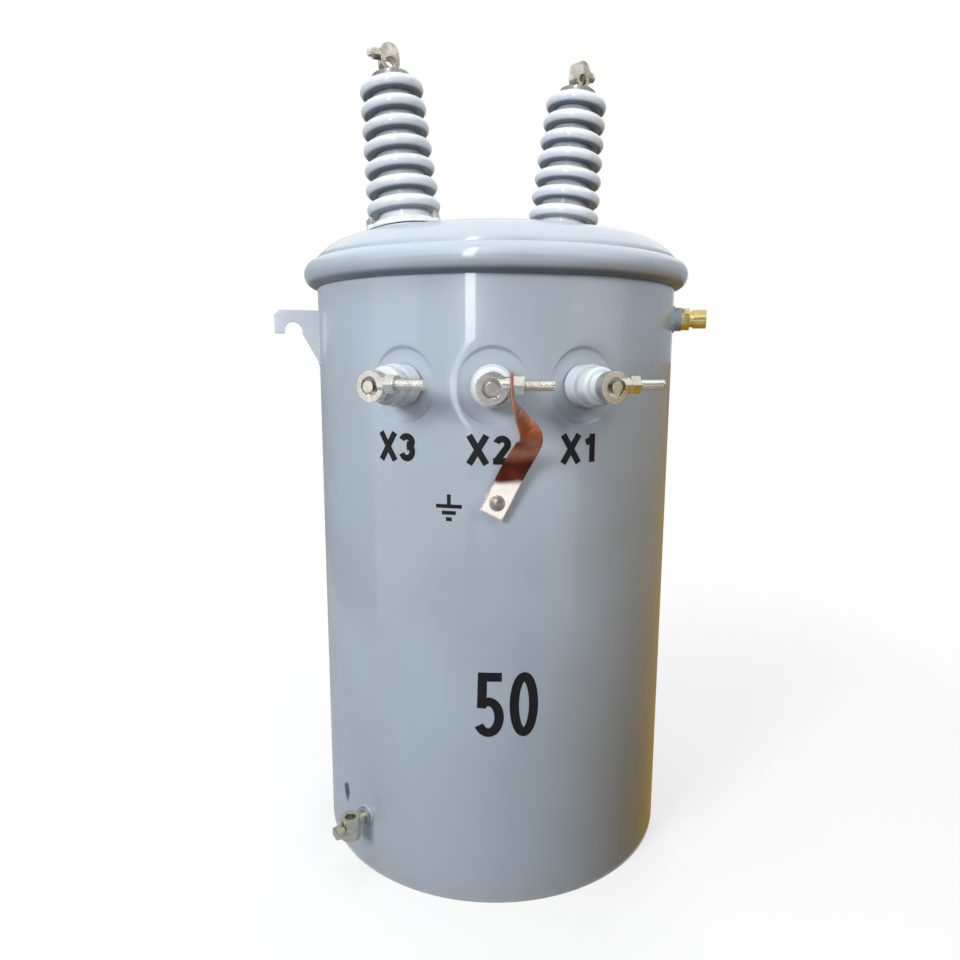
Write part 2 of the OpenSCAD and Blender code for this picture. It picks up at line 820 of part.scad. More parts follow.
module ground_pad() {
    color("#9aa0a6")
        difference() {
            rotate([0, 0, lv_mid_azimuth])
                translate([pad_mid[0], 0, pad_z])
                    rotate([90, 0, 0])
                        cylinder(r = pad_r, h = pad_face);
            tank_room();
        }
}

// lug plate drawn as reach past the tank axis and height below its flat top
module lug_plate(azimuth) {
    difference() {
        translate([0, 0, lug_top_z])
            rotate([0, 0, azimuth])
                rotate([90, 0, 0])
                    translate([0, 0, -lug_t / 2])
                        linear_extrude(height = lug_t)
                            difference() {
                                polygon([
                                    [0, 0],
                                    [tank_r + lug_reach - lug_nose / 2, 0],
                                    [tank_r + lug_reach, -lug_nose / 2],
                                    [tank_r + lug_reach, -lug_arm - lug_nose_drop],
                                    [tank_r + lug_reach - lug_nose - 2 * lug_notch_r,
                                        -lug_arm - lug_nose_drop],
                                    [tank_r, -lug_h],
                                    [0, -lug_h]]);
                                translate([tank_r + lug_reach - lug_nose - lug_notch_r,
                                    -lug_arm - lug_notch_r])
                                    circle(r = lug_notch_r);
                                translate([tank_r + lug_reach - lug_nose - 2 * lug_notch_r,
                                    -lug_arm - lug_notch_r - lug_h])
                                    square([2 * lug_notch_r, lug_h]);
                            }
        tank_room();
    }
}

module lifting_lug_left() {
    color("#b8bec6")
        lug_plate(lug_azimuth);
}

module lifting_lug_right() {
    color("#b8bec6")
        lug_plate(lug_right_azimuth);
}

module relief_boss() {
    color("#a9afb7")
        difference() {
            on_wall(relief_azimuth, relief_z)
                bar_x(relief_boss_r, tank_r / 2, tank_r + relief_boss_reach);
            tank_room();
        }
}

module relief_valve() {
    color("#b59a4a")
        on_wall(relief_azimuth, relief_z)
            translate([tank_r + relief_boss_reach, 0, 0]) {
                hex_x(relief_hex_w, 0, relief_hex_t);
                bar_x(relief_body_r, 0, relief_hex_t + relief_body_l);
                bar_x(relief_cap_r, relief_hex_t + relief_body_l,
                    relief_hex_t + relief_body_l + relief_cap_l);
            }
}

module earth_boss() {
    color("#a9afb7")
        difference() {
            on_wall(-earth_azimuth, earth_z)
                bar_x(earth_boss_r, tank_r / 2, tank_r + earth_boss_reach);
            tank_room();
        }
}

module earth_connector() {
    color("#b3ab86")
        on_wall(-earth_azimuth, earth_z)
            translate([tank_r + earth_boss_reach, 0, 0])
                difference() {
                    union() {
                        bar_x(earth_stem_r, 0, earth_stem_l + earth_eye_r);
                        translate([earth_stem_l + earth_eye_r, 0, -earth_eye_t / 2 - earth_eye_drop])
                            cylinder(r = earth_eye_r, h = earth_eye_t);
                        translate([earth_stem_l + earth_eye_r, 0, -earth_eye_drop])
                            bar_x(earth_screw_r, 0, earth_eye_r + earth_screw_reach);
                        translate([earth_stem_l + earth_eye_r, 0, -earth_eye_drop])
                            hex_x(earth_head_w, earth_eye_r + earth_screw_reach,
                                earth_eye_r + earth_screw_reach + earth_head_t);
                    }
                    translate([earth_stem_l + earth_eye_r, 0, -earth_eye_t - earth_eye_drop])
                        cylinder(r = earth_hole_r, h = 2 * earth_eye_t);
                }
}

module hanger(z) {
    difference() {
        translate([0, 0, z])
            difference() {
                union() {
                    translate([-hanger_w / 2, tank_r + hanger_reach - hanger_t, -hanger_h / 2])
                        cube([hanger_w, hanger_t, hanger_h]);
                    for (side = [-1, 1])
                        translate([side * (hanger_w - hanger_t) / 2 - hanger_t / 2, tank_r / 2,
                            -hanger_h / 2])
                            cube([hanger_t, tank_r / 2 + hanger_reach, hanger_h]);
                }
                for (side = [-1, 1])
                    translate([0, tank_r + 2 * hanger_reach, side * (hanger_slot_l / 2 - hanger_slot_r)])
                        rotate([90, 0, 0])
                            cylinder(r = hanger_slot_r, h = 2 * hanger_reach);
                translate([-hanger_slot_r, tank_r, hanger_slot_r - hanger_slot_l / 2])
                    cube([2 * hanger_slot_r, 2 * hanger_reach, hanger_slot_l - 2 * hanger_slot_r]);
            }
        tank_room();
    }
}

module hanger_upper() {
    color("#b8bec6")
        hanger(hanger_low_z + hanger_pitch);
}

module hanger_lower() {
    color("#b8bec6")
        hanger(hanger_low_z);
}

tank_shell();
tank_bottom();
cover();
cover_gasket();
cover_band();
core_and_coils();
hv_gaskets();
hv_clamp_rings();
hv_porcelain_left();
hv_porcelain_right();
hv_caps();
hv_terminal_left();
hv_terminal_right();
hv_clamp_screws();
lv_gaskets();
lv_porcelain_x1();
lv_porcelain_x2();
lv_porcelain_x3();
lv_studs();
lv_eyebolt_x1();
lv_eyebolt_x2();
lv_eyebolt_x3();
lv_nuts();
ground_strap();
ground_pad();
lifting_lug_left();
lifting_lug_right();
relief_boss();
relief_valve();
earth_boss();
earth_connector();
hanger_upper();
hanger_lower();
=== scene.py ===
import json
import math

import bpy
from mathutils import Matrix, Vector


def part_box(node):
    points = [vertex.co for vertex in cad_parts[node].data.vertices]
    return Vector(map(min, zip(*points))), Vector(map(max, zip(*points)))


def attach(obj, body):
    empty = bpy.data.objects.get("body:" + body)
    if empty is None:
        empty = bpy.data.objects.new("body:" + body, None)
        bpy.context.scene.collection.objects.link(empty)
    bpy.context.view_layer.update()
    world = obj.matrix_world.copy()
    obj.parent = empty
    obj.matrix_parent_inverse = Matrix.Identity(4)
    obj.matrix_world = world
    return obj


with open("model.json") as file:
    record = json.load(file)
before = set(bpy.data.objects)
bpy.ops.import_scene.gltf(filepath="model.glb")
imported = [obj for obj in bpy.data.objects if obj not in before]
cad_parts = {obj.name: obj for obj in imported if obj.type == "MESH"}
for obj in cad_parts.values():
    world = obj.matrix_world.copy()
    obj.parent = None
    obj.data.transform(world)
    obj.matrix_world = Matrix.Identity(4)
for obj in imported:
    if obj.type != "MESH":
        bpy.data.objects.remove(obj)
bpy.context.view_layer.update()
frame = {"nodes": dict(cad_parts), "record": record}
NODES = frame["nodes"]
MOUNTS = {m["name"]: m for m in frame["record"]["mounts"]}
BODY = "root"
MM = 0.001

# Sizes that the frame gives, and the few that it does not state, which follow the part's source
TANK_WALL = 3 * MM
TANK_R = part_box("tank_bottom")[1].x + TANK_WALL
STRAP_T = 2.5 * MM
SEAM_Z = sum(v.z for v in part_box("cover_gasket")) / 2
BAND_END_AZIMUTH = math.radians(118)
BAND_GAP = 26 * MM
EAR_T = 6 * MM
LUG_AZIMUTHS = {"left": math.radians(200), "right": math.radians(25)}
LUG_T = 10 * MM
LUG_H = 66 * MM
RELIEF_AZIMUTH = math.radians(77)
EARTH_AZIMUTH = math.radians(-42.5)
PAD_AZIMUTH = math.radians(0.9)
BUSHING_SIDES = ("left", "right")
TERMINALS = ("x1", "x2", "x3")

# The camera that the photo was taken with
CAMERA_AT = Vector((0, -1.00418, 0.63135))
CAMERA_DOWN = math.radians(9.35)
CAMERA_YAW = math.radians(-1.09)
CAMERA_ROLL = math.radians(0.21)
CAMERA_LENS = 27.615
CAMERA_SENSOR = 36
CAMERA_NEAR = 10 * MM


# Places found from the frame
RIM_SLACK = 0.02 * MM


def bushing_axis(side):
    """The foot centre and the upward direction of a high voltage bushing, found from its porcelain."""
    top = Vector(MOUNTS["hv_%s_hole" % side]["pos_m"])
    points = [v.co for v in NODES["hv_porcelain_" + side].data.vertices]
    reach = max((p - top).length for p in points)
    rim = [p for p in points if (p - top).length > reach - RIM_SLACK]
    foot = sum(rim, Vector()) / len(rim)
    return foot, (top - foot).normalized()


def box_middle(node):
    """The middle of the box round a node."""
    low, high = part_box(node)
    return (low + high) / 2


def lv_seat_centre(terminal):
    """The point of the tank wall behind a low voltage bushing."""
    middle = box_middle("lv_porcelain_" + terminal)
    out = Vector((middle.x, middle.y, 0)).normalized()
    return out * TANK_R + Vector((0, 0, middle.z))


# Node helpers, with the places of the colour sockets on a Mix node
MIX_COLOUR_A = 6
MIX_COLOUR_B = 7
MIX_COLOUR_OUT = 2
EDGE_SAMPLES = 6


def add_node(tree, kind, values=None, **settings):
    """A new shader node with its input values and settings."""
    made = tree.nodes.new(kind)
    for key, value in settings.items():
        setattr(made, key, value)
    for key, value in (values or {}).items():
        made.inputs[key].default_value = value
    return made


def new_material(name, values):
    """A material with one Principled shader; gives back the material, its tree and the shader."""
    made = bpy.data.materials.new(name)
    made.use_nodes = True
    tree = made.node_tree
    shader = tree.nodes["Principled BSDF"]
    for key, value in values.items():
        shader.inputs[key].default_value = value
    return made, tree, shader


def place_of(tree):
    """The object coordinates, which are the part's own frame in metres."""
    return add_node(tree, "ShaderNodeTexCoord").outputs["Object"]


def noise(tree, scale, detail=3.0, rough=0.5):
    """Noise in the part's frame, scale in waves per metre."""
    made = add_node(tree, "ShaderNodeTexNoise", {"Scale": scale, "Detail": detail, "Roughness": rough})
    tree.links.new(place_of(tree), made.inputs["Vector"])
    return made.outputs["Fac"]


def span(tree, source, low, high, out_low=0.0, out_high=1.0, smooth=True):
    """Source mapped from one range to another and kept inside it."""
    made = add_node(tree, "ShaderNodeMapRange",
                    {"From Min": low, "From Max": high, "To Min": out_low, "To Max": out_high},
                    interpolation_type="SMOOTHSTEP" if smooth else "LINEAR")
    tree.links.new(source, made.inputs["Value"])
    return made.outputs["Result"]


def math_node(tree, operation, a, b):
    """One Math node of two inputs, each a socket or a number."""
    made = add_node(tree, "ShaderNodeMath", operation=operation)
    for socket, value in zip(made.inputs, (a, b)):
        if isinstance(value, (int, float)):
            socket.default_value = value
        else:
            tree.links.new(value, socket)
    return made.outputs["Value"]


def mix_colour(tree, share, a, b):
    """Colour a where share is 0 and b where it is 1, each a socket or a colour."""
    made = add_node(tree, "ShaderNodeMix", data_type="RGBA")
    tree.links.new(share, made.inputs["Factor"])
    for socket, value in ((made.inputs[MIX_COLOUR_A], a), (made.inputs[MIX_COLOUR_B], b)):
        if isinstance(value, tuple):
            socket.default_value = (*value, 1)
        else:
            tree.links.new(value, socket)
    return made.outputs[MIX_COLOUR_OUT]


def bump(tree, height, depth, base=None):
    """A bump whose height is a 0 to 1 socket times depth in metres."""
    made = add_node(tree, "ShaderNodeBump", {"Strength": 1.0, "Distance": depth})
    tree.links.new(height, made.inputs["Height"])
    if base is not None:
        tree.links.new(base, made.inputs["Normal"])
    return made.outputs["Normal"]


def rounded(tree, radius, samples=EDGE_SAMPLES):
    """The normal with edges rounded by a radius."""
    return add_node(tree, "ShaderNodeBevel", {"Radius": radius}, samples=samples).outputs["Normal"]


def height_of(tree):
    """Height above the floor in metres."""
    parts = add_node(tree, "ShaderNodeSeparateXYZ")
    tree.links.new(place_of(tree), parts.inputs["Vector"])
    return parts.outputs["Z"]


def along_way(tree, way):
    """How far a place lies along a direction, in metres."""
    made = add_node(tree, "ShaderNodeVectorMath", operation="DOT_PRODUCT")
    made.inputs[1].default_value = way
    tree.links.new(place_of(tree), made.inputs[0])
    return made.outputs["Value"]


def facing_down(tree, start, end):
    """0 on faces that look up and 1 on hanging ones, between two values of the upward normal."""
    parts = add_node(tree, "ShaderNodeSeparateXYZ")
    tree.links.new(add_node(tree, "ShaderNodeNewGeometry").outputs["Normal"], parts.inputs["Vector"])
    return span(tree, parts.outputs["Z"], start, end)


def near_point(tree, point, stretch=(1, 1, 1)):
    """Distance from a point of the part, with each axis stretched."""
    moved = add_node(tree, "ShaderNodeVectorMath", operation="SUBTRACT")
    moved.inputs[1].default_value = point
    tree.links.new(place_of(tree), moved.inputs[0])
    scaled = add_node(tree, "ShaderNodeVectorMath", operation="MULTIPLY")
    scaled.inputs[1].default_value = stretch
    tree.links.new(moved.outputs["Vector"], scaled.inputs[0])
    length = add_node(tree, "ShaderNodeVectorMath", operation="LENGTH")
    tree.links.new(scaled.outputs["Vector"], length.inputs[0])
    return length.outputs["Value"]


# Materials
NOISE_MIDDLE = (0.3, 0.7)


def uneven(tree, scale, low, high, detail=3.0):
    """A value that wanders between low and high with noise of a scale."""
    return span(tree, noise(tree, scale, detail), *NOISE_MIDDLE, low, high)


def ragged(tree, distance, scale, depth):
    """A distance with noise of a scale added to it, up to a depth."""
    return math_node(tree, "ADD", distance, math_node(tree, "MULTIPLY", noise(tree, scale), depth))


# Gloss paint, with each raggedness as a noise scale and a depth
PAINT = (0.385, 0.445, 0.525)
PAINT_WORN = (0.345, 0.395, 0.455)
# Painted light: a paler, lit copy of the tank paint, used on the lifting lugs
LUG_LIT_PAINT = (0.70, 0.75, 0.83)
LUG_LIT_PAINT_WORN = (0.63, 0.68, 0.76)
PAINT_IOR = 1.5
PAINT_SPECULAR = 0.5
PAINT_COAT = 0.7
PAINT_COAT_ROUGH = 0.045
PAINT_ROUGH = (0.28, 0.36)
PAINT_ROUGH_SCALE = 40
PAINT_EDGE_SAMPLES = 12
TANK_EDGE = 3 * MM
FITTING_EDGE = 1.2 * MM
CLOUD_SCALE = 5
CLOUD_DETAIL = 4
CLOUD_SPAN = (0.35, 0.7)
DUST = (0.36, 0.37, 0.36)
DUST_HEIGHT = (90 * MM, 30 * MM)
DUST_RAGGED = (30, 80 * MM)
DUST_SHARE = 0.55
# Painted shade: the hanging underside of the cover band is painted dark blue-grey, with little coat
BAND_UNDER_SHADE = (0.115, 0.14, 0.17)
UNDER_SHADE_TURN = (-0.5, -0.85)
UNDER_SHADE_COAT = 0.1
# A dark patch on the tank wall, where the coat is left off
DARK_PATCH = (0.03, 0.045, 0.07)
DARK_PATCH_AT = (-0.187, -0.134, 0.081)
DARK_PATCH_STRETCH = (1, 1, 0.73)
DARK_PATCH_RAGGED = (90, 16 * MM)
DARK_PATCH_EDGE = (18.5 * MM, 13.5 * MM)
DARK_PATCH_COAT = 0.0
SEAT_DISH = (30 * MM, 52 * MM)
SEAT_DISH_DEPTH = 1.6 * MM
SHEET_WAVES = 3.2
SHEET_WAVE_DETAIL = 1.5
SHEET_WAVE_DEPTH = 3 * MM


def seat_dish(tree):
    """0 in the shallow dish that the pressed seats leave in the sheet round them, 1 on the plain wall."""
    dish = None
    for terminal in TERMINALS:
        outside = span(tree, near_point(tree, lv_seat_centre(terminal)), *SEAT_DISH)
        dish = outside if dish is None else math_node(tree, "MULTIPLY", dish, outside)
    return dish


def gloss_paint(name, round_radius, on_tank, fresh=PAINT, worn=PAINT_WORN, under=None):
    """Gloss grey paint with faint clouds and dust; a wavy sheet and a dark patch, or painted shade on the
    faces that hang down, on the tank.
    """
    made, tree, shader = new_material(name, {
        "Coat Weight": PAINT_COAT, "Coat Roughness": PAINT_COAT_ROUGH, "Coat IOR": PAINT_IOR,
        "IOR": PAINT_IOR, "Specular IOR Level": PAINT_SPECULAR})
    clouds = span(tree, noise(tree, CLOUD_SCALE, CLOUD_DETAIL), *CLOUD_SPAN)
    colour = mix_colour(tree, clouds, fresh, worn)
    dusty = span(tree, ragged(tree, height_of(tree), *DUST_RAGGED), *DUST_HEIGHT, 0.0, DUST_SHARE)
    colour = mix_colour(tree, dusty, colour, DUST)
    if under:
        # Painted shade on the faces that hang down: dark, with little coat
        hanging = facing_down(tree, *UNDER_SHADE_TURN)
        colour = mix_colour(tree, hanging, colour, under)
        coat = span(tree, hanging, 0.0, 1.0, PAINT_COAT, UNDER_SHADE_COAT)
        tree.links.new(coat, shader.inputs["Coat Weight"])
    elif on_tank:
        # A dark patch without coat on the tank wall
        far = near_point(tree, DARK_PATCH_AT, DARK_PATCH_STRETCH)
        in_dark_patch = span(tree, ragged(tree, far, *DARK_PATCH_RAGGED), *DARK_PATCH_EDGE)
        colour = mix_colour(tree, in_dark_patch, colour, DARK_PATCH)
        coat = span(tree, in_dark_patch, 0.0, 1.0, PAINT_COAT, DARK_PATCH_COAT)
        tree.links.new(coat, shader.inputs["Coat Weight"])
    tree.links.new(colour, shader.inputs["Base Color"])
    tree.links.new(uneven(tree, PAINT_ROUGH_SCALE, *PAINT_ROUGH), shader.inputs["Roughness"])
    normal = rounded(tree, round_radius, PAINT_EDGE_SAMPLES)
    if on_tank:
        normal = bump(tree, seat_dish(tree), SEAT_DISH_DEPTH, normal)
        normal = bump(tree, noise(tree, SHEET_WAVES, SHEET_WAVE_DETAIL), SHEET_WAVE_DEPTH, normal)
    for socket in ("Normal", "Coat Normal"):
        tree.links.new(normal, shader.inputs[socket])
    return made


# Glaze, with the lowest and the top shed as a height up the axis and a rim radius
GLAZE = (0.565, 0.615, 0.67)
GLAZE_PALE = (0.605, 0.65, 0.695)
GLAZE_CLOUD_SCALE = 18
GLAZE_CLOUD_DETAIL = 4
GLAZE_IOR = 1.5
GLAZE_COAT = 0.8
GLAZE_COAT_ROUGH = 0.04
GLAZE_ROUGH = (0.12, 0.24)
GLAZE_ROUGH_SCALE = 60
GLAZE_EDGE = 1.5 * MM
GLAZE_RIPPLES = 55
GLAZE_RIPPLE_DETAIL = 2
GLAZE_RIPPLE_DEPTH = 0.2 * MM
SPECK = (0.33, 0.31, 0.28)
SPECK_SCALE = 340
SPECK_DETAIL = 1
SPECK_SPAN = (0.74, 0.78)
SPECK_SHARE = 0.5
# Painted shade: hanging faces deep in the grooves, and the trunk between the sheds, are painted dark with
# little coat
GROOVE_SHADE = (0.13, 0.15, 0.175)
GROOVE_SHADE_COAT = 0.1
GROOVE_SHADE_DEPTH = (1.5 * MM, 5.5 * MM)
GROOVE_SHADE_TURN = (0.15, -0.45)
TRUNK_SHADE_DEPTH = (8.5 * MM, 12.5 * MM)
TRUNK_SHADE_SHARE = 0.6
SHED_LOW = (31 * MM, 48.5 * MM)
SHED_TOP = (183 * MM, 42 * MM)
ABOVE_RING = (SHED_LOW[0] - 12 * MM, SHED_LOW[0] - 6 * MM)
BELOW_CAP = (SHED_TOP[0] + 8 * MM, SHED_TOP[0] + 2 * MM)


def shed_depth(tree, side):
    """How deep a place lies inside the rims of a high voltage bushing, and how far up its axis."""
    foot, up = bushing_axis(side)
    from_foot = add_node(tree, "ShaderNodeVectorMath", operation="SUBTRACT")
    from_foot.inputs[1].default_value = foot
    tree.links.new(place_of(tree), from_foot.inputs[0])
    along = add_node(tree, "ShaderNodeVectorMath", operation="DOT_PRODUCT")
    along.inputs[1].default_value = up
    across = add_node(tree, "ShaderNodeVectorMath", operation="CROSS_PRODUCT")
    across.inputs[1].default_value = up
    radius = add_node(tree, "ShaderNodeVectorMath", operation="LENGTH")
    tree.links.new(from_foot.outputs["Vector"], along.inputs[0])
    tree.links.new(from_foot.outputs["Vector"], across.inputs[0])
    tree.links.new(across.outputs["Vector"], radius.inputs[0])
    rim = span(tree, along.outputs["Value"], SHED_LOW[0], SHED_TOP[0], SHED_LOW[1], SHED_TOP[1], False)
    return math_node(tree, "SUBTRACT", rim, radius.outputs["Value"]), along.outputs["Value"]


def groove_share(tree, depths):
    """1 where the grooves between the sheds are deeper than a range of depths, 0 outside them."""
    total = None
    for side in BUSHING_SIDES:
        depth, up = shed_depth(tree, side)
        inside = math_node(tree, "MULTIPLY", span(tree, depth, *depths), span(tree, up, *ABOVE_RING))
        share = math_node(tree, "MULTIPLY", inside, span(tree, up, *BELOW_CAP))
        total = share if total is None else math_node(tree, "ADD", total, share)
    return total


def glaze(name, grooves):
    """Glazed pale grey porcelain with faint clouding, a few iron specks and painted shade in the grooves
    between the sheds.
    """
    made, tree, shader = new_material(name, {
        "Coat Weight": GLAZE_COAT, "Coat Roughness": GLAZE_COAT_ROUGH, "IOR": GLAZE_IOR})
    clouds = uneven(tree, GLAZE_CLOUD_SCALE, 0.0, 1.0, GLAZE_CLOUD_DETAIL)
    colour = mix_colour(tree, clouds, GLAZE, GLAZE_PALE)
    specks = span(tree, noise(tree, SPECK_SCALE, SPECK_DETAIL), *SPECK_SPAN, 0.0, SPECK_SHARE)
    colour = mix_colour(tree, specks, colour, SPECK)
    if grooves:
        # Painted shade in the grooves: on the hanging faces, and on the trunk deep between the sheds
        hanging = facing_down(tree, *GROOVE_SHADE_TURN)
        under = math_node(tree, "MULTIPLY", groove_share(tree, GROOVE_SHADE_DEPTH), hanging)
        trunk = math_node(tree, "MULTIPLY", groove_share(tree, TRUNK_SHADE_DEPTH), TRUNK_SHADE_SHARE)
        painted_shade = math_node(tree, "MAXIMUM", under, trunk)
        colour = mix_colour(tree, painted_shade, colour, GROOVE_SHADE)
        coat = span(tree, painted_shade, 0.0, 1.0, GLAZE_COAT, GROOVE_SHADE_COAT)
        tree.links.new(coat, shader.inputs["Coat Weight"])
    tree.links.new(colour, shader.inputs["Base Color"])
    tree.links.new(uneven(tree, GLAZE_ROUGH_SCALE, *GLAZE_ROUGH), shader.inputs["Roughness"])
    ripples = noise(tree, GLAZE_RIPPLES, GLAZE_RIPPLE_DETAIL)
    normal = bump(tree, ripples, GLAZE_RIPPLE_DEPTH, rounded(tree, GLAZE_EDGE))
    for socket in ("Normal", "Coat Normal"):
        tree.links.new(normal, shader.inputs[socket])
    return made


# Bare metal, with its patches as the scale, detail and roughness of their noise
METAL_PATCHES = (45, 5, 0.65)
METAL_ROUGH_SCALE = 90
METAL_ROUGH_DETAIL = 4
METAL_ROUGH_RANGE = 0.1
METAL_GRAIN = 300
METAL_GRAIN_DETAIL = 1
METAL_GRAIN_DEPTH = 0.02 * MM
METAL_EDGE = 0.8 * MM


def metal(name, bright, worn, rough):
    """Metal that goes from bright to worn in patches, with fine marks in it."""
    made, tree, shader = new_material(name, {"Metallic": 1.0})
    patches = span(tree, noise(tree, *METAL_PATCHES), *NOISE_MIDDLE)
    tree.links.new(mix_colour(tree, patches, bright, worn), shader.inputs["Base Color"])
    roughness = uneven(tree, METAL_ROUGH_SCALE, rough, rough + METAL_ROUGH_RANGE, METAL_ROUGH_DETAIL)
    tree.links.new(roughness, shader.inputs["Roughness"])
    grain = noise(tree, METAL_GRAIN, METAL_GRAIN_DETAIL)
    tree.links.new(bump(tree, grain, METAL_GRAIN_DEPTH, rounded(tree, METAL_EDGE)), shader.inputs["Normal"])
    return made


# Copper of the strap, whose tail and fold end at heights over the pad
# Painted highlight: the flat tail is rubbed copper painted nearly white, for the gleam of light on it
TAIL_HIGHLIGHT = (0.995, 0.965, 0.94)
TAIL_RUBBED_HIGHLIGHT = (0.96, 0.82, 0.73)
BROWN_BRIGHT = (0.58, 0.24, 0.145)
BROWN_DARK = (0.42, 0.15, 0.085)
# Painted shade: the fold over the tail is painted nearly black
FOLD_SHADE_PALE = (0.14, 0.033, 0.017)
FOLD_SHADE_DARK = (0.08, 0.018, 0.010)
TAIL_EDGE = (10 * MM, 20 * MM)
FOLD_EDGE = (36 * MM, 50 * MM)
TAIL_ROUGH = 0.04
FOLD_ROUGH = 0.27
STRAP_RAGGED = (35, 14 * MM)
STRAP_PATCHES = (55, 4, 0.6)
STRAP_PATCH_SPAN = (0.35, 0.7)
STRAP_ROUGH_SCALE = 80
STRAP_ROUGH_DETAIL = 4
STRAP_ROUGH_RANGE = 0.2
STRAP_DENTS = 40
STRAP_DENT_DETAIL = 2
STRAP_DENT_DEPTH = 0.1 * MM


def copper_strap(name):
    """Bare copper: rubbed on the flat tail and painted nearly white there as a painted highlight, painted
    shade in the fold over it, and brown above.
    """
    made, tree, shader = new_material(name, {"Metallic": 1.0})
    pad_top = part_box("ground_pad")[1].z
    height = ragged(tree, height_of(tree), *STRAP_RAGGED)
    folded = span(tree, height, *(pad_top + edge for edge in TAIL_EDGE))
    browned = span(tree, height, *(pad_top + edge for edge in FOLD_EDGE))
    patches = span(tree, noise(tree, *STRAP_PATCHES), *STRAP_PATCH_SPAN)
    # Painted highlight over rubbed copper on the tail
    bright = mix_colour(tree, patches, TAIL_HIGHLIGHT, TAIL_RUBBED_HIGHLIGHT)
    # Painted shade in the fold
    fold = mix_colour(tree, patches, FOLD_SHADE_PALE, FOLD_SHADE_DARK)
    brown = mix_colour(tree, patches, BROWN_BRIGHT, BROWN_DARK)
    upper = mix_colour(tree, browned, fold, brown)
    tree.links.new(mix_colour(tree, folded, bright, upper), shader.inputs["Base Color"])
    marks = noise(tree, STRAP_ROUGH_SCALE, STRAP_ROUGH_DETAIL)
    marks = math_node(tree, "MULTIPLY", marks, STRAP_ROUGH_RANGE)
    roughness = math_node(tree, "ADD", marks, span(tree, folded, 0.0, 1.0, TAIL_ROUGH, FOLD_ROUGH))
    tree.links.new(roughness, shader.inputs["Roughness"])
    dents = noise(tree, STRAP_DENTS, STRAP_DENT_DETAIL)
    tree.links.new(bump(tree, dents, STRAP_DENT_DEPTH), shader.inputs["Normal"])
    return made


# Matt surfaces
DULL_SPECULAR = 0.25
DULL_ROUGH_RANGE = 0.15
DULL_GRAIN = 120
DULL_GRAIN_DETAIL = 4
DULL_GRAIN_DEPTH = 0.1 * MM
MARKING_GRAIN = 200
MARKING_GRAIN_DEPTH = 0.02 * MM


def dull(name, light, dark, rough, scale=DULL_GRAIN, depth=DULL_GRAIN_DEPTH):
    """A matt surface with a fine grain."""
    made, tree, shader = new_material(name, {"Specular IOR Level": DULL_SPECULAR})
    colour = mix_colour(tree, uneven(tree, scale, 0.0, 1.0, DULL_GRAIN_DETAIL), light, dark)
    tree.links.new(colour, shader.inputs["Base Color"])
    roughness = uneven(tree, scale / 2, rough, rough + DULL_ROUGH_RANGE)
    tree.links.new(roughness, shader.inputs["Roughness"])
    tree.links.new(bump(tree, noise(tree, scale * 2), depth), shader.inputs["Normal"])
    return made


# Each material by name; metal and matt ones have two colours and a roughness
MATERIALS = {
    "tank_paint": gloss_paint("tank_paint", TANK_EDGE, True),
    "band_paint": gloss_paint("band_paint", TANK_EDGE, True, under=BAND_UNDER_SHADE),
    "fitting_paint": gloss_paint("fitting_paint", FITTING_EDGE, False),
    "lug_lit_paint": gloss_paint("lug_lit_paint", FITTING_EDGE, False, LUG_LIT_PAINT, LUG_LIT_PAINT_WORN),
    "tank_bottom_paint": dull("tank_bottom_paint", (0.30, 0.33, 0.37), (0.24, 0.26, 0.29), 0.45),
    "gasket_rubber": dull("gasket_rubber", (0.035, 0.035, 0.037), (0.018, 0.018, 0.019), 0.6),
    "core_steel": dull("core_steel", (0.16, 0.13, 0.11), (0.10, 0.085, 0.07), 0.6),
    "porcelain": glaze("porcelain", True),
    "small_porcelain": glaze("small_porcelain", False),
    "ring_metal": dull("ring_metal", (0.62, 0.645, 0.67), (0.54, 0.56, 0.585), 0.35),
    "cap_metal": metal("cap_metal", (0.42, 0.42, 0.40), (0.22, 0.22, 0.21), 0.3),
    "tinned_bronze": metal("tinned_bronze", (0.82, 0.81, 0.77), (0.60, 0.58, 0.51), 0.16),
    "hv_bronze": metal("hv_bronze", (0.84, 0.82, 0.75), (0.30, 0.265, 0.19), 0.17),
    "copper": copper_strap("copper"),
    "bare_steel": metal("bare_steel", (0.62, 0.63, 0.65), (0.40, 0.40, 0.41), 0.28),
    "brass": metal("brass", (0.83, 0.70, 0.33), (0.62, 0.49, 0.19), 0.17),
    "earth_bronze": metal("earth_bronze", (0.78, 0.75, 0.64), (0.46, 0.43, 0.34), 0.28),
    "marking_paint": dull("marking_paint", (0.004, 0.004, 0.005), (0.008, 0.008, 0.01), 0.4,
                          MARKING_GRAIN, MARKING_GRAIN_DEPTH),
    "dark_steel": metal("dark_steel", (0.52, 0.47, 0.43), (0.27, 0.24, 0.22), 0.3),
}
TANK_SHEETS = ("tank_shell", "cover")
SLOT_OF = {part["node"]: part["material_slot"] for part in frame["record"]["subparts"]}


def material_of(node_name):
    """The name of a node's material: that of its slot, or a finer one for some pieces of the slot."""
    slot = SLOT_OF[node_name]
    if node_name == "cover_band":
        return "band_paint"
    # The lifting lugs take the paler copy of the tank paint as painted light
    if node_name.startswith("lifting_lug"):
        return "lug_lit_paint"
    if node_name.startswith("lv_porcelain"):
        return "small_porcelain"
    if slot == "tank_paint" and node_name not in TANK_SHEETS:
        return "fitting_paint"
    if slot == "tinned_bronze" and node_name.startswith("hv_"):
        return "hv_bronze"
    return slot


for node_name, node_object in NODES.items():
    node_object.data.materials.clear()
    node_object.data.materials.append(MATERIALS[material_of(node_name)])


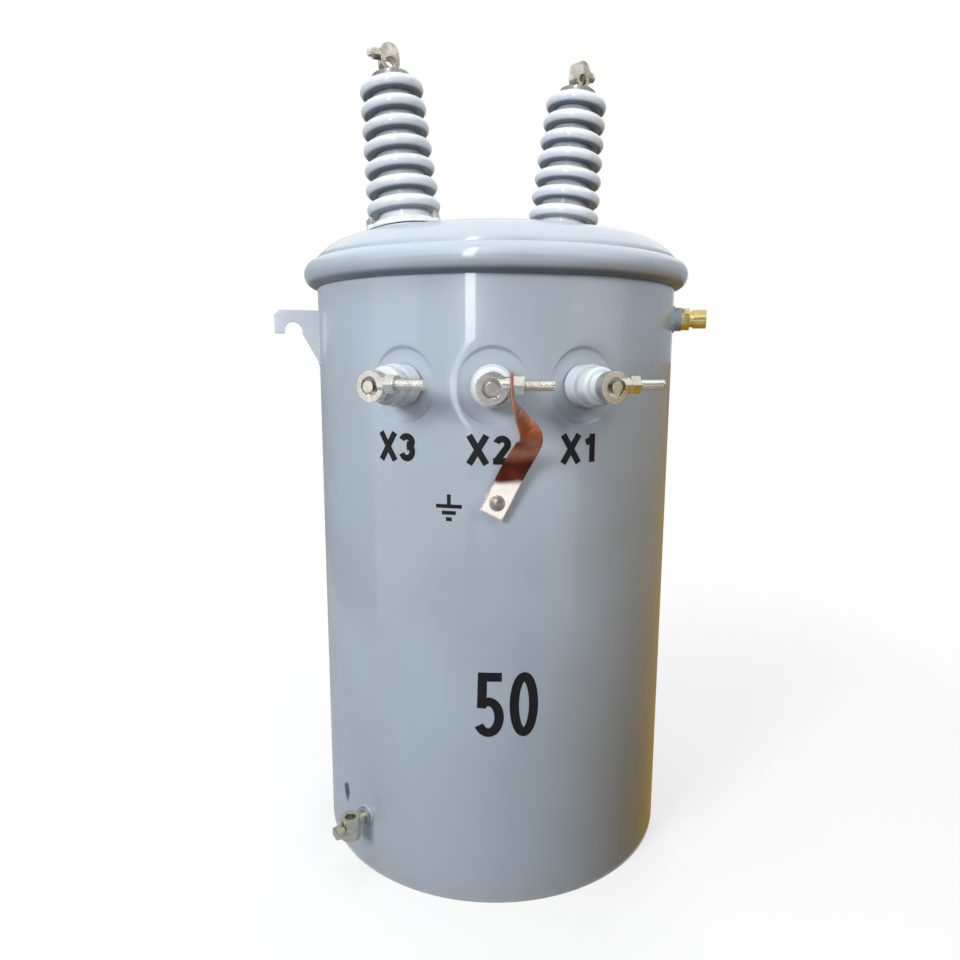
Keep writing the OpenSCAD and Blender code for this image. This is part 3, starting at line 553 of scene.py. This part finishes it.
# Smooth sheet for the strap, whose solid is made of small flat faces
STRAP_WELD = 0.01 * MM
STRAP_VOXEL = 0.6 * MM
STRAP_SMOOTHING = 0.5
STRAP_SMOOTH_STEPS = 30


def smooth_strap():
    """Modifiers that turn the strap's flat faces into one bent sheet with slightly broken edges."""
    strap = NODES["ground_strap"]
    joined = strap.modifiers.new("joined", "WELD")
    joined.merge_threshold = STRAP_WELD
    sheet = strap.modifiers.new("sheet", "REMESH")
    sheet.mode = "VOXEL"
    sheet.voxel_size = STRAP_VOXEL
    sheet.use_smooth_shade = True
    even = strap.modifiers.new("even", "SMOOTH")
    even.factor = STRAP_SMOOTHING
    even.iterations = STRAP_SMOOTH_STEPS


smooth_strap()


# Mesh helpers
ROUND_STEPS = 32
WASHER_STEPS = 36
WASHER_EDGE = 0.25
HEX_CHAMFER_H = 0.12
HEX_CHAMFER_R = 0.144
SHARP_ANGLE = math.radians(40)
PARALLEL = 0.01


def add_piece(name, points, faces, material, slot=None, smooth=True):
    """A mesh piece that rides on the part, with its material; its slot is not used."""
    mesh = bpy.data.meshes.new(name)
    mesh.from_pydata([tuple(p) for p in points], [], faces)
    mesh.materials.append(MATERIALS[material])
    mesh.validate()
    if smooth:
        mesh.shade_smooth()
    made = bpy.data.objects.new(name, mesh)
    bpy.context.scene.collection.objects.link(made)
    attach(made, BODY)
    return made


def seat_matrix(origin, axis, side=Vector((0, 0, 1))):
    """A placement whose Z is the axis and whose X points as far as it can to one side."""
    z = Vector(axis).normalized()
    x = side - z * side.dot(z)
    if x.length < PARALLEL:
        x = Vector((1, 0, 0)) - z * z.x
    x.normalize()
    return Matrix.Translation(origin) @ Matrix((x, z.cross(x), z)).transposed().to_4x4()


def rings_to_mesh(rings):
    """Points and faces of a skin over rings with the same number of points, closed at both ends."""
    count = len(rings[0])
    points = [p for ring in rings for p in ring]
    faces = []
    for i in range(len(rings) - 1):
        for k in range(count):
            n = (k + 1) % count
            faces.append((i * count + k, i * count + n, (i + 1) * count + n, (i + 1) * count + k))
    faces.append(tuple(reversed(range(count))))
    faces.append(tuple(range((len(rings) - 1) * count, len(rings) * count)))
    return points, faces


def lathe(profile, place, steps=ROUND_STEPS):
    """Points and faces of a profile of radius and height turned about the Z axis of a placement."""
    turns = [2 * math.pi * k / steps for k in range(steps)]
    rings = [[place @ Vector((r * math.cos(t), r * math.sin(t), h)) for t in turns] for r, h in profile]
    return rings_to_mesh(rings)


def join(parts):
    """Several sets of points and faces as one."""
    points, faces = [], []
    for more_points, more_faces in parts:
        start = len(points)
        points += more_points
        faces += [tuple(start + i for i in face) for face in more_faces]
    return points, faces


def hexagon(flats, height, place):
    """A hexagon nut or head with a chamfer on its free end."""
    corner = flats / math.sqrt(3)
    shoulder = (corner, height * (1 - HEX_CHAMFER_H))
    profile = [(corner, 0), shoulder, (corner * (1 - HEX_CHAMFER_R), height)]
    return lathe(profile, place, steps=6)


def washer(radius, thickness, place):
    """A washer with a small round on its edge."""
    edge = thickness * WASHER_EDGE
    profile = [(radius, 0), (radius, thickness - edge), (radius - edge, thickness)]
    return lathe(profile, place, WASHER_STEPS)


def wall_point(along, z, azimuth=0.0, proud=0.0):
    """A point on the tank wall, a distance to the right of an azimuth that counts from the front."""
    a = azimuth + along / TANK_R
    r = TANK_R + proud
    return Vector((r * math.sin(a), -r * math.cos(a), z))


def smooth_edges(piece):
    """Sharp edges stay sharp on a piece with smooth faces."""
    piece.data.set_sharp_from_angle(angle=SHARP_ANGLE)


# Painted markings, drawn with a brush of one width
LETTER_H = 31 * MM
LETTER_X_W = 25.5 * MM
LETTER_DIGIT_W = 19 * MM
LETTER_ONE_W = 13.68 * MM
LETTER_GAP = 3.5 * MM
LETTER_BRUSH = 7.2 * MM
LETTER_Z = 536 * MM
TERMINAL_MARKS = {"3": -27.7, "2": -1.5, "1": 23.25}
FIGURE_H = 77 * MM
FIGURE_W = 32.6 * MM
FIGURE_GAP = 6.4 * MM
FIGURE_BRUSH = 10.6 * MM
FIGURE_Z = 248 * MM
FIGURE_AZIMUTH = math.radians(4.05)
MARK_PROUD = 0.12 * MM
MARK_LAYER = 0.024 * MM
BRUSH_STEP = 2.5 * MM
CLOSED_PATH = 1e-6


def arc(cx, cy, rx, ry, start, end, steps=18):
    """Points of an ellipse from one angle to another, in degrees."""
    angles = [math.radians(start + (end - start) * k / steps) for k in range(steps + 1)]
    return [(cx + rx * math.cos(a), cy + ry * math.sin(a)) for a in angles]


def resampled(path, step):
    """The path with points no further apart than a step."""
    made = [path[0]]
    for a, b in zip(path, path[1:]):
        parts = max(1, math.ceil(math.dist(a, b) / step))
        for k in range(1, parts + 1):
            made.append((a[0] + (b[0] - a[0]) * k / parts, a[1] + (b[1] - a[1]) * k / parts))
    return made


def glyph(letter, w, h, brush):
    """The strokes of a letter in a box of w by h, drawn in shares of the box and of half the brush."""
    t = brush / 2
    mid = w / 2
    if letter == "X":
        lean = t * 0.95
        return [[(lean, 0), (w - lean, h)], [(lean, h), (w - lean, 0)]]
    if letter == "1":
        stem = w - t
        flag = [(stem, h - t), (stem - 0.22 * w, h - 2.1 * t), (stem - 0.6 * w, h - 2.6 * t)]
        return [[(stem, 0), (stem, h)], flag]
    if letter == "2":
        r = mid - t
        top = arc(mid, h - t - r, r, r, 165, -35)
        return [top + [(t, t)], [(0, t), (w, t)]]
    if letter == "3":
        r_top = h * 0.25 - t / 2
        r_low = h * 0.25
        top = arc(mid - 0.06 * w, h - t - r_top, mid - t * 0.8, r_top, 160, -90)
        low = arc(mid - 0.06 * w, t + r_low, mid - t * 0.75, r_low, 90, -160)
        return [top, low]
    if letter == "5":
        bowl_h = 0.62 * h
        bowl = arc(mid - 0.04 * w, bowl_h / 2, mid - t + 0.04 * w, bowl_h / 2 - t, 128, -148, 26)
        neck = [(0.1 * w + t, h), (0.1 * w + t * 0.8, bowl_h * 0.72)]
        return [[(w * 0.92, h - t), (0.1 * w, h - t)], neck, bowl]
    return [arc(mid, h / 2, mid - t, h / 2 - t, 0, 360, 48)]


def brush_stroke(path, brush, azimuth, left, low, proud):
    """A stroke of constant width on the tank wall."""
    line = resampled(path, BRUSH_STEP)
    closed = math.dist(line[0], line[-1]) < CLOSED_PATH
    points, faces = [], []
    for i, (x, y) in enumerate(line):
        before = line[i - 1] if i else (line[-2] if closed else line[0])
        after = line[i + 1] if i + 1 < len(line) else (line[1] if closed else line[-1])
        way = Vector((after[0] - before[0], after[1] - before[1])).normalized()
        for side in (-1, 0, 1):
            px = x - way.y * side * brush / 2
            py = y + way.x * side * brush / 2
            points.append(wall_point(left + px, low + py, azimuth, proud))
    for i in range(len(line) - 1):
        for k in (0, 1):
            faces.append((3 * i + k, 3 * i + 3 + k, 3 * i + 4 + k, 3 * i + 1 + k))
    return points, faces


def paint_word(name, letters, azimuth, z, height, gap, brush):
    """Letters side by side on the tank wall, centred on an azimuth and a height."""
    total = sum(w for _, w in letters) + gap * (len(letters) - 1)
    left = -total / 2
    parts = []
    for letter, w in letters:
        for k, path in enumerate(glyph(letter, w, height, brush)):
            proud = MARK_PROUD + MARK_LAYER * k
            parts.append(brush_stroke(path, brush, azimuth, left, z - height / 2, proud))
        left += w + gap
    points, faces = join(parts)
    add_piece(name, points, faces, "marking_paint")


def terminal_mark(digit, azimuth):
    """The mark under a low voltage terminal, its azimuth in degrees from the front."""
    letters = [("X", LETTER_X_W), (digit, LETTER_ONE_W if digit == "1" else LETTER_DIGIT_W)]
    paint_word("mark_x" + digit, letters, math.radians(azimuth), LETTER_Z, LETTER_H, LETTER_GAP, LETTER_BRUSH)


def rating_mark():
    """The rating figure on the middle of the tank."""
    letters = [("5", FIGURE_W), ("0", FIGURE_W)]
    paint_word("mark_rating", letters, FIGURE_AZIMUTH, FIGURE_Z, FIGURE_H, FIGURE_GAP, FIGURE_BRUSH)


EARTH_MARK_AZIMUTH = math.radians(-12.15)
EARTH_MARK_Z = 474 * MM
EARTH_MARK_BRUSH = 4.2 * MM
EARTH_MARK_BARS = ((29 * MM, 0), (15.5 * MM, -7.2 * MM), (6.5 * MM, -14.2 * MM))
EARTH_MARK_STEM = 13 * MM


def earth_mark():
    """The earth sign: a stem over three bars that get shorter downwards."""
    strokes = [[(0, 0), (0, EARTH_MARK_STEM)]]
    strokes += [[(-w / 2, y), (w / 2, y)] for w, y in EARTH_MARK_BARS]
    parts = []
    for k, path in enumerate(strokes):
        proud = MARK_PROUD + MARK_LAYER * k
        parts.append(brush_stroke(path, EARTH_MARK_BRUSH, EARTH_MARK_AZIMUTH, 0, EARTH_MARK_Z, proud))
    points, faces = join(parts)
    add_piece("mark_earth", points, faces, "marking_paint")


for mark_digit, mark_azimuth in TERMINAL_MARKS.items():
    terminal_mark(mark_digit, mark_azimuth)
earth_mark()
rating_mark()


# Fasteners
PAD_WASHER_R = 8.5 * MM
PAD_WASHER_T = 1.6 * MM
PAD_HEAD_FLATS = 11 * MM
PAD_HEAD_H = 4.5 * MM
RING_BOSS_R = 7.5 * MM
RING_BOSS_H = 7 * MM
RING_NEAR = 100 * MM
RING_WASHER_R = 7.1 * MM
RING_WASHER_T = 1.2 * MM
RING_NUT_FLATS = 12 * MM
RING_NUT_H = 6 * MM
RING_STUD_R = 3.6 * MM
RING_STUD_H = 11 * MM
RING_STUD_STEPS = 16
RING_STUD_COUNT = 3
RING_STUD_AZIMUTH = math.radians(90)
BAND_BOLT_R = 5 * MM
BAND_BOLT_IN = 11 * MM
BAND_BOLT_END = 5 * MM
BAND_BOLT_STEPS = 20
BAND_HEAD_FLATS = 17 * MM
BAND_HEAD_H = 8 * MM


def pad_bolt():
    """The bolt and washer that hold the strap to its pad."""
    low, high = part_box("ground_pad")
    face = Vector(((low.x + high.x) / 2, low.y - STRAP_T, (low.z + high.z) / 2))
    place = seat_matrix(face, (0, -1, 0))
    over_washer = place @ Matrix.Translation((0, 0, PAD_WASHER_T))
    head = hexagon(PAD_HEAD_FLATS, PAD_HEAD_H, over_washer)
    shape = join([washer(PAD_WASHER_R, PAD_WASHER_T, place), head])
    smooth_edges(add_piece("strap_bolt", *shape, "dark_steel", "bare_steel"))


def ring_nuts(side):
    """Studs, washers and nuts on the bosses of the clamp ring of a high voltage bushing."""
    foot, up = bushing_axis(side)
    ring = [v.co - foot for v in NODES["hv_clamp_rings"].data.vertices]
    near = [p for p in ring if p.length < RING_NEAR]
    at_r = max((p - up * p.dot(up)).length for p in near) - RING_BOSS_R
    lean = math.atan2(up.y, up.x)
    turn = Matrix.Rotation(lean, 3, "Z") @ Matrix.Rotation(math.acos(up.z), 3, "Y")
    parts = []
    for k in range(RING_STUD_COUNT):
        a = RING_STUD_AZIMUTH + 2 * math.pi * k / RING_STUD_COUNT - lean
        out = turn @ Vector((math.cos(a), math.sin(a), 0))
        place = seat_matrix(foot + out * at_r + up * RING_BOSS_H, up, out)
        over_washer = place @ Matrix.Translation((0, 0, RING_WASHER_T))
        stud = [(RING_STUD_R, 0), (RING_STUD_R, RING_STUD_H - MM), (RING_STUD_R - MM, RING_STUD_H)]
        parts.append(washer(RING_WASHER_R, RING_WASHER_T, place))
        parts.append(hexagon(RING_NUT_FLATS, RING_NUT_H, over_washer))
        parts.append(lathe(stud, place, RING_STUD_STEPS))
    smooth_edges(add_piece("ring_nuts_" + side, *join(parts), "bare_steel", "bare_steel"))


def band_bolt():
    """The bolt that draws the ends of the cover band together."""
    out = Vector((math.cos(BAND_END_AZIMUTH), math.sin(BAND_END_AZIMUTH), 0))
    along = Vector((-out.y, out.x, 0))
    reach = max(v.co.dot(out) for v in NODES["cover_band"].data.vertices)
    middle = out * (reach - BAND_BOLT_IN) + Vector((0, 0, SEAM_Z))
    outside = BAND_GAP / 2 + EAR_T
    head = seat_matrix(middle + along * outside, along)
    nut = seat_matrix(middle - along * outside, -along)
    past_ear = BAND_HEAD_H + BAND_BOLT_END
    shank = seat_matrix(middle - along * (outside + past_ear), along)
    profile = [(BAND_BOLT_R - MM, 0), (BAND_BOLT_R, MM), (BAND_BOLT_R, 2 * outside + past_ear)]
    shape = join([hexagon(BAND_HEAD_FLATS, BAND_HEAD_H, head), hexagon(BAND_HEAD_FLATS, BAND_HEAD_H, nut),
                  lathe(profile, shank, BAND_BOLT_STEPS)])
    smooth_edges(add_piece("band_bolt", *shape, "bare_steel", "bare_steel"))


THREAD_PITCH = 1.5 * MM
THREAD_DEPTH = 0.55 * MM
THREAD_STEPS = 28


def shank_thread(terminal):
    """The thread on the free end of a low voltage shank."""
    mount = MOUNTS["lv_%s_shank" % terminal]
    axis = Vector(mount["axis"])
    r = mount["dims"]["r_mm"] * MM
    length = mount["dims"]["length_mm"] * MM
    place = seat_matrix(Vector(mount["pos_m"]) - axis * length / 2, axis)
    turns = int(length / THREAD_PITCH) - 1
    profile = []
    for k in range(turns):
        profile += [(r, k * THREAD_PITCH), (r + THREAD_DEPTH, (k + 0.5) * THREAD_PITCH)]
    profile.append((r, turns * THREAD_PITCH))
    shape = lathe(profile, place, THREAD_STEPS)
    add_piece("thread_" + terminal, *shape, "tinned_bronze", "tinned_bronze", smooth=False)


pad_bolt()
band_bolt()
for bushing_side in BUSHING_SIDES:
    ring_nuts(bushing_side)
for terminal_name in TERMINALS:
    shank_thread(terminal_name)


# Weld beads
WELD_R = 2.4 * MM
WELD_RIPPLE = 3.2 * MM
WELD_RIPPLE_POINTS = 4
WELD_RIPPLE_SHARE = 0.14
WELD_SIDES = 8
WELD_ROUND_STEPS = 40
WELD_ASIDE = 1 * MM
RELIEF_WELD_R = 14.5 * MM
EARTH_WELD_R = 11 * MM
PAD_WELD_R = 13 * MM


def weld(name, path):
    """A rippled bead along a path of points, under paint."""
    line = [path[0]]
    for a, b in zip(path, path[1:]):
        parts = max(1, round((b - a).length / (WELD_RIPPLE / WELD_RIPPLE_POINTS)))
        line += [a.lerp(b, k / parts) for k in range(1, parts + 1)]
    turns = [2 * math.pi * k / WELD_SIDES for k in range(WELD_SIDES)]
    rings = []
    for i, point in enumerate(line):
        way = (line[min(i + 1, len(line) - 1)] - line[max(i - 1, 0)]).normalized()
        side = Vector((point.x, point.y, 0)).normalized()
        side = (side - way * side.dot(way)).normalized()
        other = way.cross(side)
        ripple = math.sin(2 * math.pi * i / WELD_RIPPLE_POINTS) - 1
        r = WELD_R * (1 + WELD_RIPPLE_SHARE * ripple)
        rings.append([point + (side * math.cos(t) + other * math.sin(t)) * r for t in turns])
    add_piece(name, *rings_to_mesh(rings), "fitting_paint", "tank_paint")


def weld_upright(name, azimuth, offset, low, high):
    """A bead up the tank wall beside a plate that stands on it."""
    slope = math.asin(offset / TANK_R)
    weld(name, [wall_point(slope * TANK_R, z, azimuth) for z in (low, high)])


def weld_round(name, azimuth, z, radius):
    """A bead round a boss on the tank wall."""
    turns = [2 * math.pi * k / WELD_ROUND_STEPS for k in range(WELD_ROUND_STEPS + 1)]
    weld(name, [wall_point(radius * math.cos(t), z + radius * math.sin(t), azimuth) for t in turns])


FRONT_TO_X = math.radians(90)
for lug_side, lug_turn in LUG_AZIMUTHS.items():
    lug_low, lug_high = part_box("lifting_lug_" + lug_side)
    for edge, offset in (("a", LUG_T / 2 + WELD_ASIDE), ("b", -LUG_T / 2 - WELD_ASIDE)):
        weld_name = "weld_lug_%s_%s" % (lug_side, edge)
        weld_upright(weld_name, lug_turn + FRONT_TO_X, offset, lug_high.z - LUG_H, lug_high.z)
for level in ("upper", "lower"):
    hanger_low, hanger_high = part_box("hanger_" + level)
    for edge, offset in (("a", hanger_high.x + WELD_ASIDE), ("b", hanger_low.x - WELD_ASIDE)):
        weld_upright("weld_hanger_%s_%s" % (level, edge), math.pi, -offset, hanger_low.z, hanger_high.z)
weld_round("weld_relief", RELIEF_AZIMUTH, box_middle("relief_boss").z, RELIEF_WELD_R)
weld_round("weld_earth", EARTH_AZIMUTH, box_middle("earth_boss").z, EARTH_WELD_R)
weld_round("weld_pad", PAD_AZIMUTH, box_middle("ground_pad").z, PAD_WELD_R)


# Floor, backdrop and light
FLOOR_R = 8.0
FLOOR_SIDES = 64
FLOOR_FADE = (0.55, 1.5)
FLOOR_SEEN = (0.92, 0.92, 0.92)
FLOOR_BOUNCE = (0.29, 0.29, 0.29)
FLOOR_BROWN = (0.035, 0.025, 0.012)
FLOOR_TURN = (0.8, 0.6, 0)
FLOOR_TURN_SPAN = (-0.15, 0.12)
FLOOR_WHITE = 0.62
AMBIENT = (0.93, 0.96, 1.0)
AMBIENT_STRENGTH = 0.28


def seen_share(tree):
    """1 for rays from the camera, and for reflections and refractions of the background."""
    path = add_node(tree, "ShaderNodeLightPath")
    seen = math_node(tree, "MAXIMUM", path.outputs["Is Camera Ray"], path.outputs["Is Glossy Ray"])
    return math_node(tree, "MAXIMUM", seen, path.outputs["Is Transmission Ray"])


def make_world():
    """A white background to look at and a plain soft light from it."""
    world = bpy.data.worlds.new("studio")
    bpy.context.scene.world = world
    world.use_nodes = True
    tree = world.node_tree
    tree.nodes.clear()
    lit = add_node(tree, "ShaderNodeBackground", {"Color": (*AMBIENT, 1), "Strength": AMBIENT_STRENGTH})
    seen = add_node(tree, "ShaderNodeBackground", {"Color": (1, 1, 1, 1), "Strength": 1.0})
    mixed = add_node(tree, "ShaderNodeMixShader")
    tree.links.new(seen_share(tree), mixed.inputs["Fac"])
    tree.links.new(lit.outputs[0], mixed.inputs[1])
    tree.links.new(seen.outputs[0], mixed.inputs[2])
    tree.links.new(mixed.outputs[0], add_node(tree, "ShaderNodeOutputWorld").inputs["Surface"])


def stage_object(name, points, faces, material):
    """A mesh of the studio that is not part of the object."""
    mesh = bpy.data.meshes.new(name)
    mesh.from_pydata(points, [], faces)
    mesh.materials.append(material)
    made = bpy.data.objects.new(name, mesh)
    bpy.context.scene.collection.objects.link(made)
    return made


def make_floor():
    """A pale floor that keeps the shadow and runs out into the white background."""
    made = bpy.data.materials.new("floor")
    made.use_nodes = True
    tree = made.node_tree
    tree.nodes.clear()
    seen = seen_share(tree)
    matt = add_node(tree, "ShaderNodeBsdfDiffuse")
    to_right = span(tree, along_way(tree, FLOOR_TURN), *FLOOR_TURN_SPAN)
    bounce = mix_colour(tree, to_right, FLOOR_BOUNCE, FLOOR_BROWN)
    tree.links.new(mix_colour(tree, seen, bounce, FLOOR_SEEN), matt.inputs["Color"])
    white = add_node(tree, "ShaderNodeEmission", {"Color": (1, 1, 1, 1), "Strength": 1.0})
    far = span(tree, near_point(tree, (0, 0, 0)), *FLOOR_FADE, FLOOR_WHITE, 1.0)
    mixed = add_node(tree, "ShaderNodeMixShader")
    tree.links.new(math_node(tree, "MULTIPLY", far, seen), mixed.inputs["Fac"])
    tree.links.new(matt.outputs[0], mixed.inputs[1])
    tree.links.new(white.outputs[0], mixed.inputs[2])
    tree.links.new(mixed.outputs[0], add_node(tree, "ShaderNodeOutputMaterial").inputs["Surface"])
    turns = [2 * math.pi * k / FLOOR_SIDES for k in range(FLOOR_SIDES)]
    ring = [(FLOOR_R * math.cos(t), FLOOR_R * math.sin(t), 0) for t in turns]
    stage_object("floor", ring, [tuple(range(FLOOR_SIDES))], made)


def mirror_card(name, corners, start, end, way, reach, shade=None):
    """A card seen in reflections, its colour changing along a direction; a shade also dims the light."""
    made = bpy.data.materials.new(name)
    made.use_nodes = True
    tree = made.node_tree
    tree.nodes.clear()
    glow = add_node(tree, "ShaderNodeEmission", {"Strength": 1.0})
    colour = mix_colour(tree, span(tree, along_way(tree, way), *reach), start, end)
    if shade:
        glossy = add_node(tree, "ShaderNodeLightPath").outputs["Is Glossy Ray"]
        colour = mix_colour(tree, glossy, shade, colour)
    tree.links.new(colour, glow.inputs["Color"])
    tree.links.new(glow.outputs[0], add_node(tree, "ShaderNodeOutputMaterial").inputs["Surface"])
    card = stage_object(name, corners, [(0, 1, 2, 3)], made)
    card.visible_camera = False
    card.visible_diffuse = shade is not None
    card.visible_shadow = False
    card.visible_transmission = False


# What the gloss reflects: colours, then the ends of each card's foot and its heights, in metres
UP = (0, 0, 1)
WINDOW_LOW = (0.25, 0.27, 0.3)
WINDOW_HIGH = (14.0, 14.3, 14.6)
WINDOW_RISE = (0.3, 0.95)
ROOM_LOW = (0.30, 0.31, 0.33)
ROOM_HIGH = (0.10, 0.10, 0.105)
ROOM_RISE = (0.35, 0.9)
BROWN_LOW = (0.42, 0.27, 0.045)
BROWN_HIGH = (0.28, 0.18, 0.07)
BROWN_SHADE = (0.035, 0.022, 0.010)
BROWN_RISE = (0.2, 0.7)
GREY_LOW = (0.28, 0.31, 0.34)
GREY_HIGH = (0.42, 0.45, 0.49)
GREY_RISE = (0.25, 0.85)
FLOOR_GREY = (0.45, 0.48, 0.52)
WINDOW_FOOT = ((-0.345, -1.23), (-0.225, -1.24))
WINDOW_Z = (0.03, 2.2)
ROOM_FOOT = ((-2.6, -2.6), (2.6, -2.6))
ROOM_Z = (0.34, 1.5)
RIGHT_WALL_FOOT = ((0.8, -0.75), (0.8, 1.8))
RIGHT_BACK_FOOT = ((0.8, 1.8), (0.15, 1.8))
BROWN_Z = (0.0, 0.62)
RIGHT_HIGH_FOOT = ((1.1, -0.3), (1.1, 1.8))
RIGHT_HIGH_Z = (0.5, 1.3)
LEFT_WALL_FOOT = ((-1.0, -0.3), (-1.0, 1.8))
LEFT_BACK_FOOT = ((-1.0, 1.9), (1.0, 1.9))
GREY_Z = (0.0, 1.3)
FLOOR_CARD = ((-1.0, -1.6), (0.8, 1.9))
FLAT_Z = 4 * MM


def upright(foot, heights):
    """The corners of an upright card over a line on the floor, between two heights."""
    start, end = foot
    low, top = heights
    return [(*start, low), (*end, low), (*end, top), (*start, top)]


def flat(low, high):
    """The corners of a card that lies just over the floor between two corners."""
    return [(*low, FLAT_Z), (high[0], low[1], FLAT_Z), (*high, FLAT_Z), (low[0], high[1], FLAT_Z)]


def make_cards():
    """What the gloss shows: a window and a dim room in front, brown at the right and grey at the left."""
    mirror_card("window", upright(WINDOW_FOOT, WINDOW_Z), WINDOW_LOW, WINDOW_HIGH, UP, WINDOW_RISE)
    mirror_card("room", upright(ROOM_FOOT, ROOM_Z), ROOM_LOW, ROOM_HIGH, UP, ROOM_RISE)
    brown = (BROWN_LOW, BROWN_HIGH, UP, BROWN_RISE, BROWN_SHADE)
    mirror_card("right_wall", upright(RIGHT_WALL_FOOT, BROWN_Z), *brown)
    mirror_card("right_back", upright(RIGHT_BACK_FOOT, BROWN_Z), *brown)
    grey = (GREY_LOW, GREY_HIGH, UP, GREY_RISE)
    mirror_card("right_high", upright(RIGHT_HIGH_FOOT, RIGHT_HIGH_Z), *grey)
    mirror_card("left_wall", upright(LEFT_WALL_FOOT, GREY_Z), *grey)
    mirror_card("left_back", upright(LEFT_BACK_FOOT, GREY_Z), *grey)
    mirror_card("floor_card", flat(*FLOOR_CARD), FLOOR_GREY, BROWN_LOW, FLOOR_TURN, FLOOR_TURN_SPAN)


def soft_light(name, at, aim, size, power, spread=180, colour=(1, 1, 1)):
    """An area light that shows neither to the camera nor in reflections, its spread in degrees."""
    data = bpy.data.lights.new(name, "AREA")
    data.shape = "RECTANGLE"
    data.size, data.size_y = size
    data.energy = power
    data.spread = math.radians(spread)
    data.color = colour
    made = bpy.data.objects.new(name, data)
    made.location = at
    made.rotation_euler = (Vector(aim) - Vector(at)).to_track_quat("-Z", "Y").to_euler()
    made.visible_camera = False
    made.visible_glossy = False
    bpy.context.scene.collection.objects.link(made)


WARM = (1.0, 0.93, 0.85)


def make_lights():
    """A soft roof light, a broad light from the front left, a high one from the right and one behind."""
    soft_light("roof", at=(-0.2, -0.4, 3.0), aim=(0, 0, 0), size=(2.4, 2.4), power=54)
    soft_light("left", at=(-1.9, -2.3, 1.7), aim=(0, 0, 0.8), size=(1.0, 1.0), power=19.2, spread=90)
    soft_light("right", at=(1.2, -1.1, 1.6), aim=(0.15, -0.1, 0.95), size=(0.7, 0.7), power=1.7, spread=50,
               colour=WARM)
    soft_light("behind", at=(0.8, 2.8, 2.0), aim=(0, 0, 0.5), size=(2.0, 1.6), power=42)


def make_camera():
    """The photo's own viewpoint."""
    data = bpy.data.cameras.new("photo_camera")
    data.lens = CAMERA_LENS
    data.sensor_width = CAMERA_SENSOR
    data.clip_start = CAMERA_NEAR
    made = bpy.data.objects.new("photo_camera", data)
    level = math.cos(CAMERA_DOWN)
    forward = Vector((math.sin(CAMERA_YAW) * level, math.cos(CAMERA_YAW) * level, -math.sin(CAMERA_DOWN)))
    right = Vector((math.cos(CAMERA_YAW), -math.sin(CAMERA_YAW), 0))
    up = right.cross(forward)
    turned_right = math.cos(CAMERA_ROLL) * right + math.sin(CAMERA_ROLL) * up
    turned_up = math.cos(CAMERA_ROLL) * up - math.sin(CAMERA_ROLL) * right
    made.matrix_world = (Matrix.Translation(CAMERA_AT)
                         @ Matrix((turned_right, turned_up, -forward)).transposed().to_4x4())
    bpy.context.scene.collection.objects.link(made)
    bpy.context.scene.camera = made


bpy.context.scene.view_settings.view_transform = "Standard"
make_world()
make_floor()
make_cards()
make_lights()
make_camera()
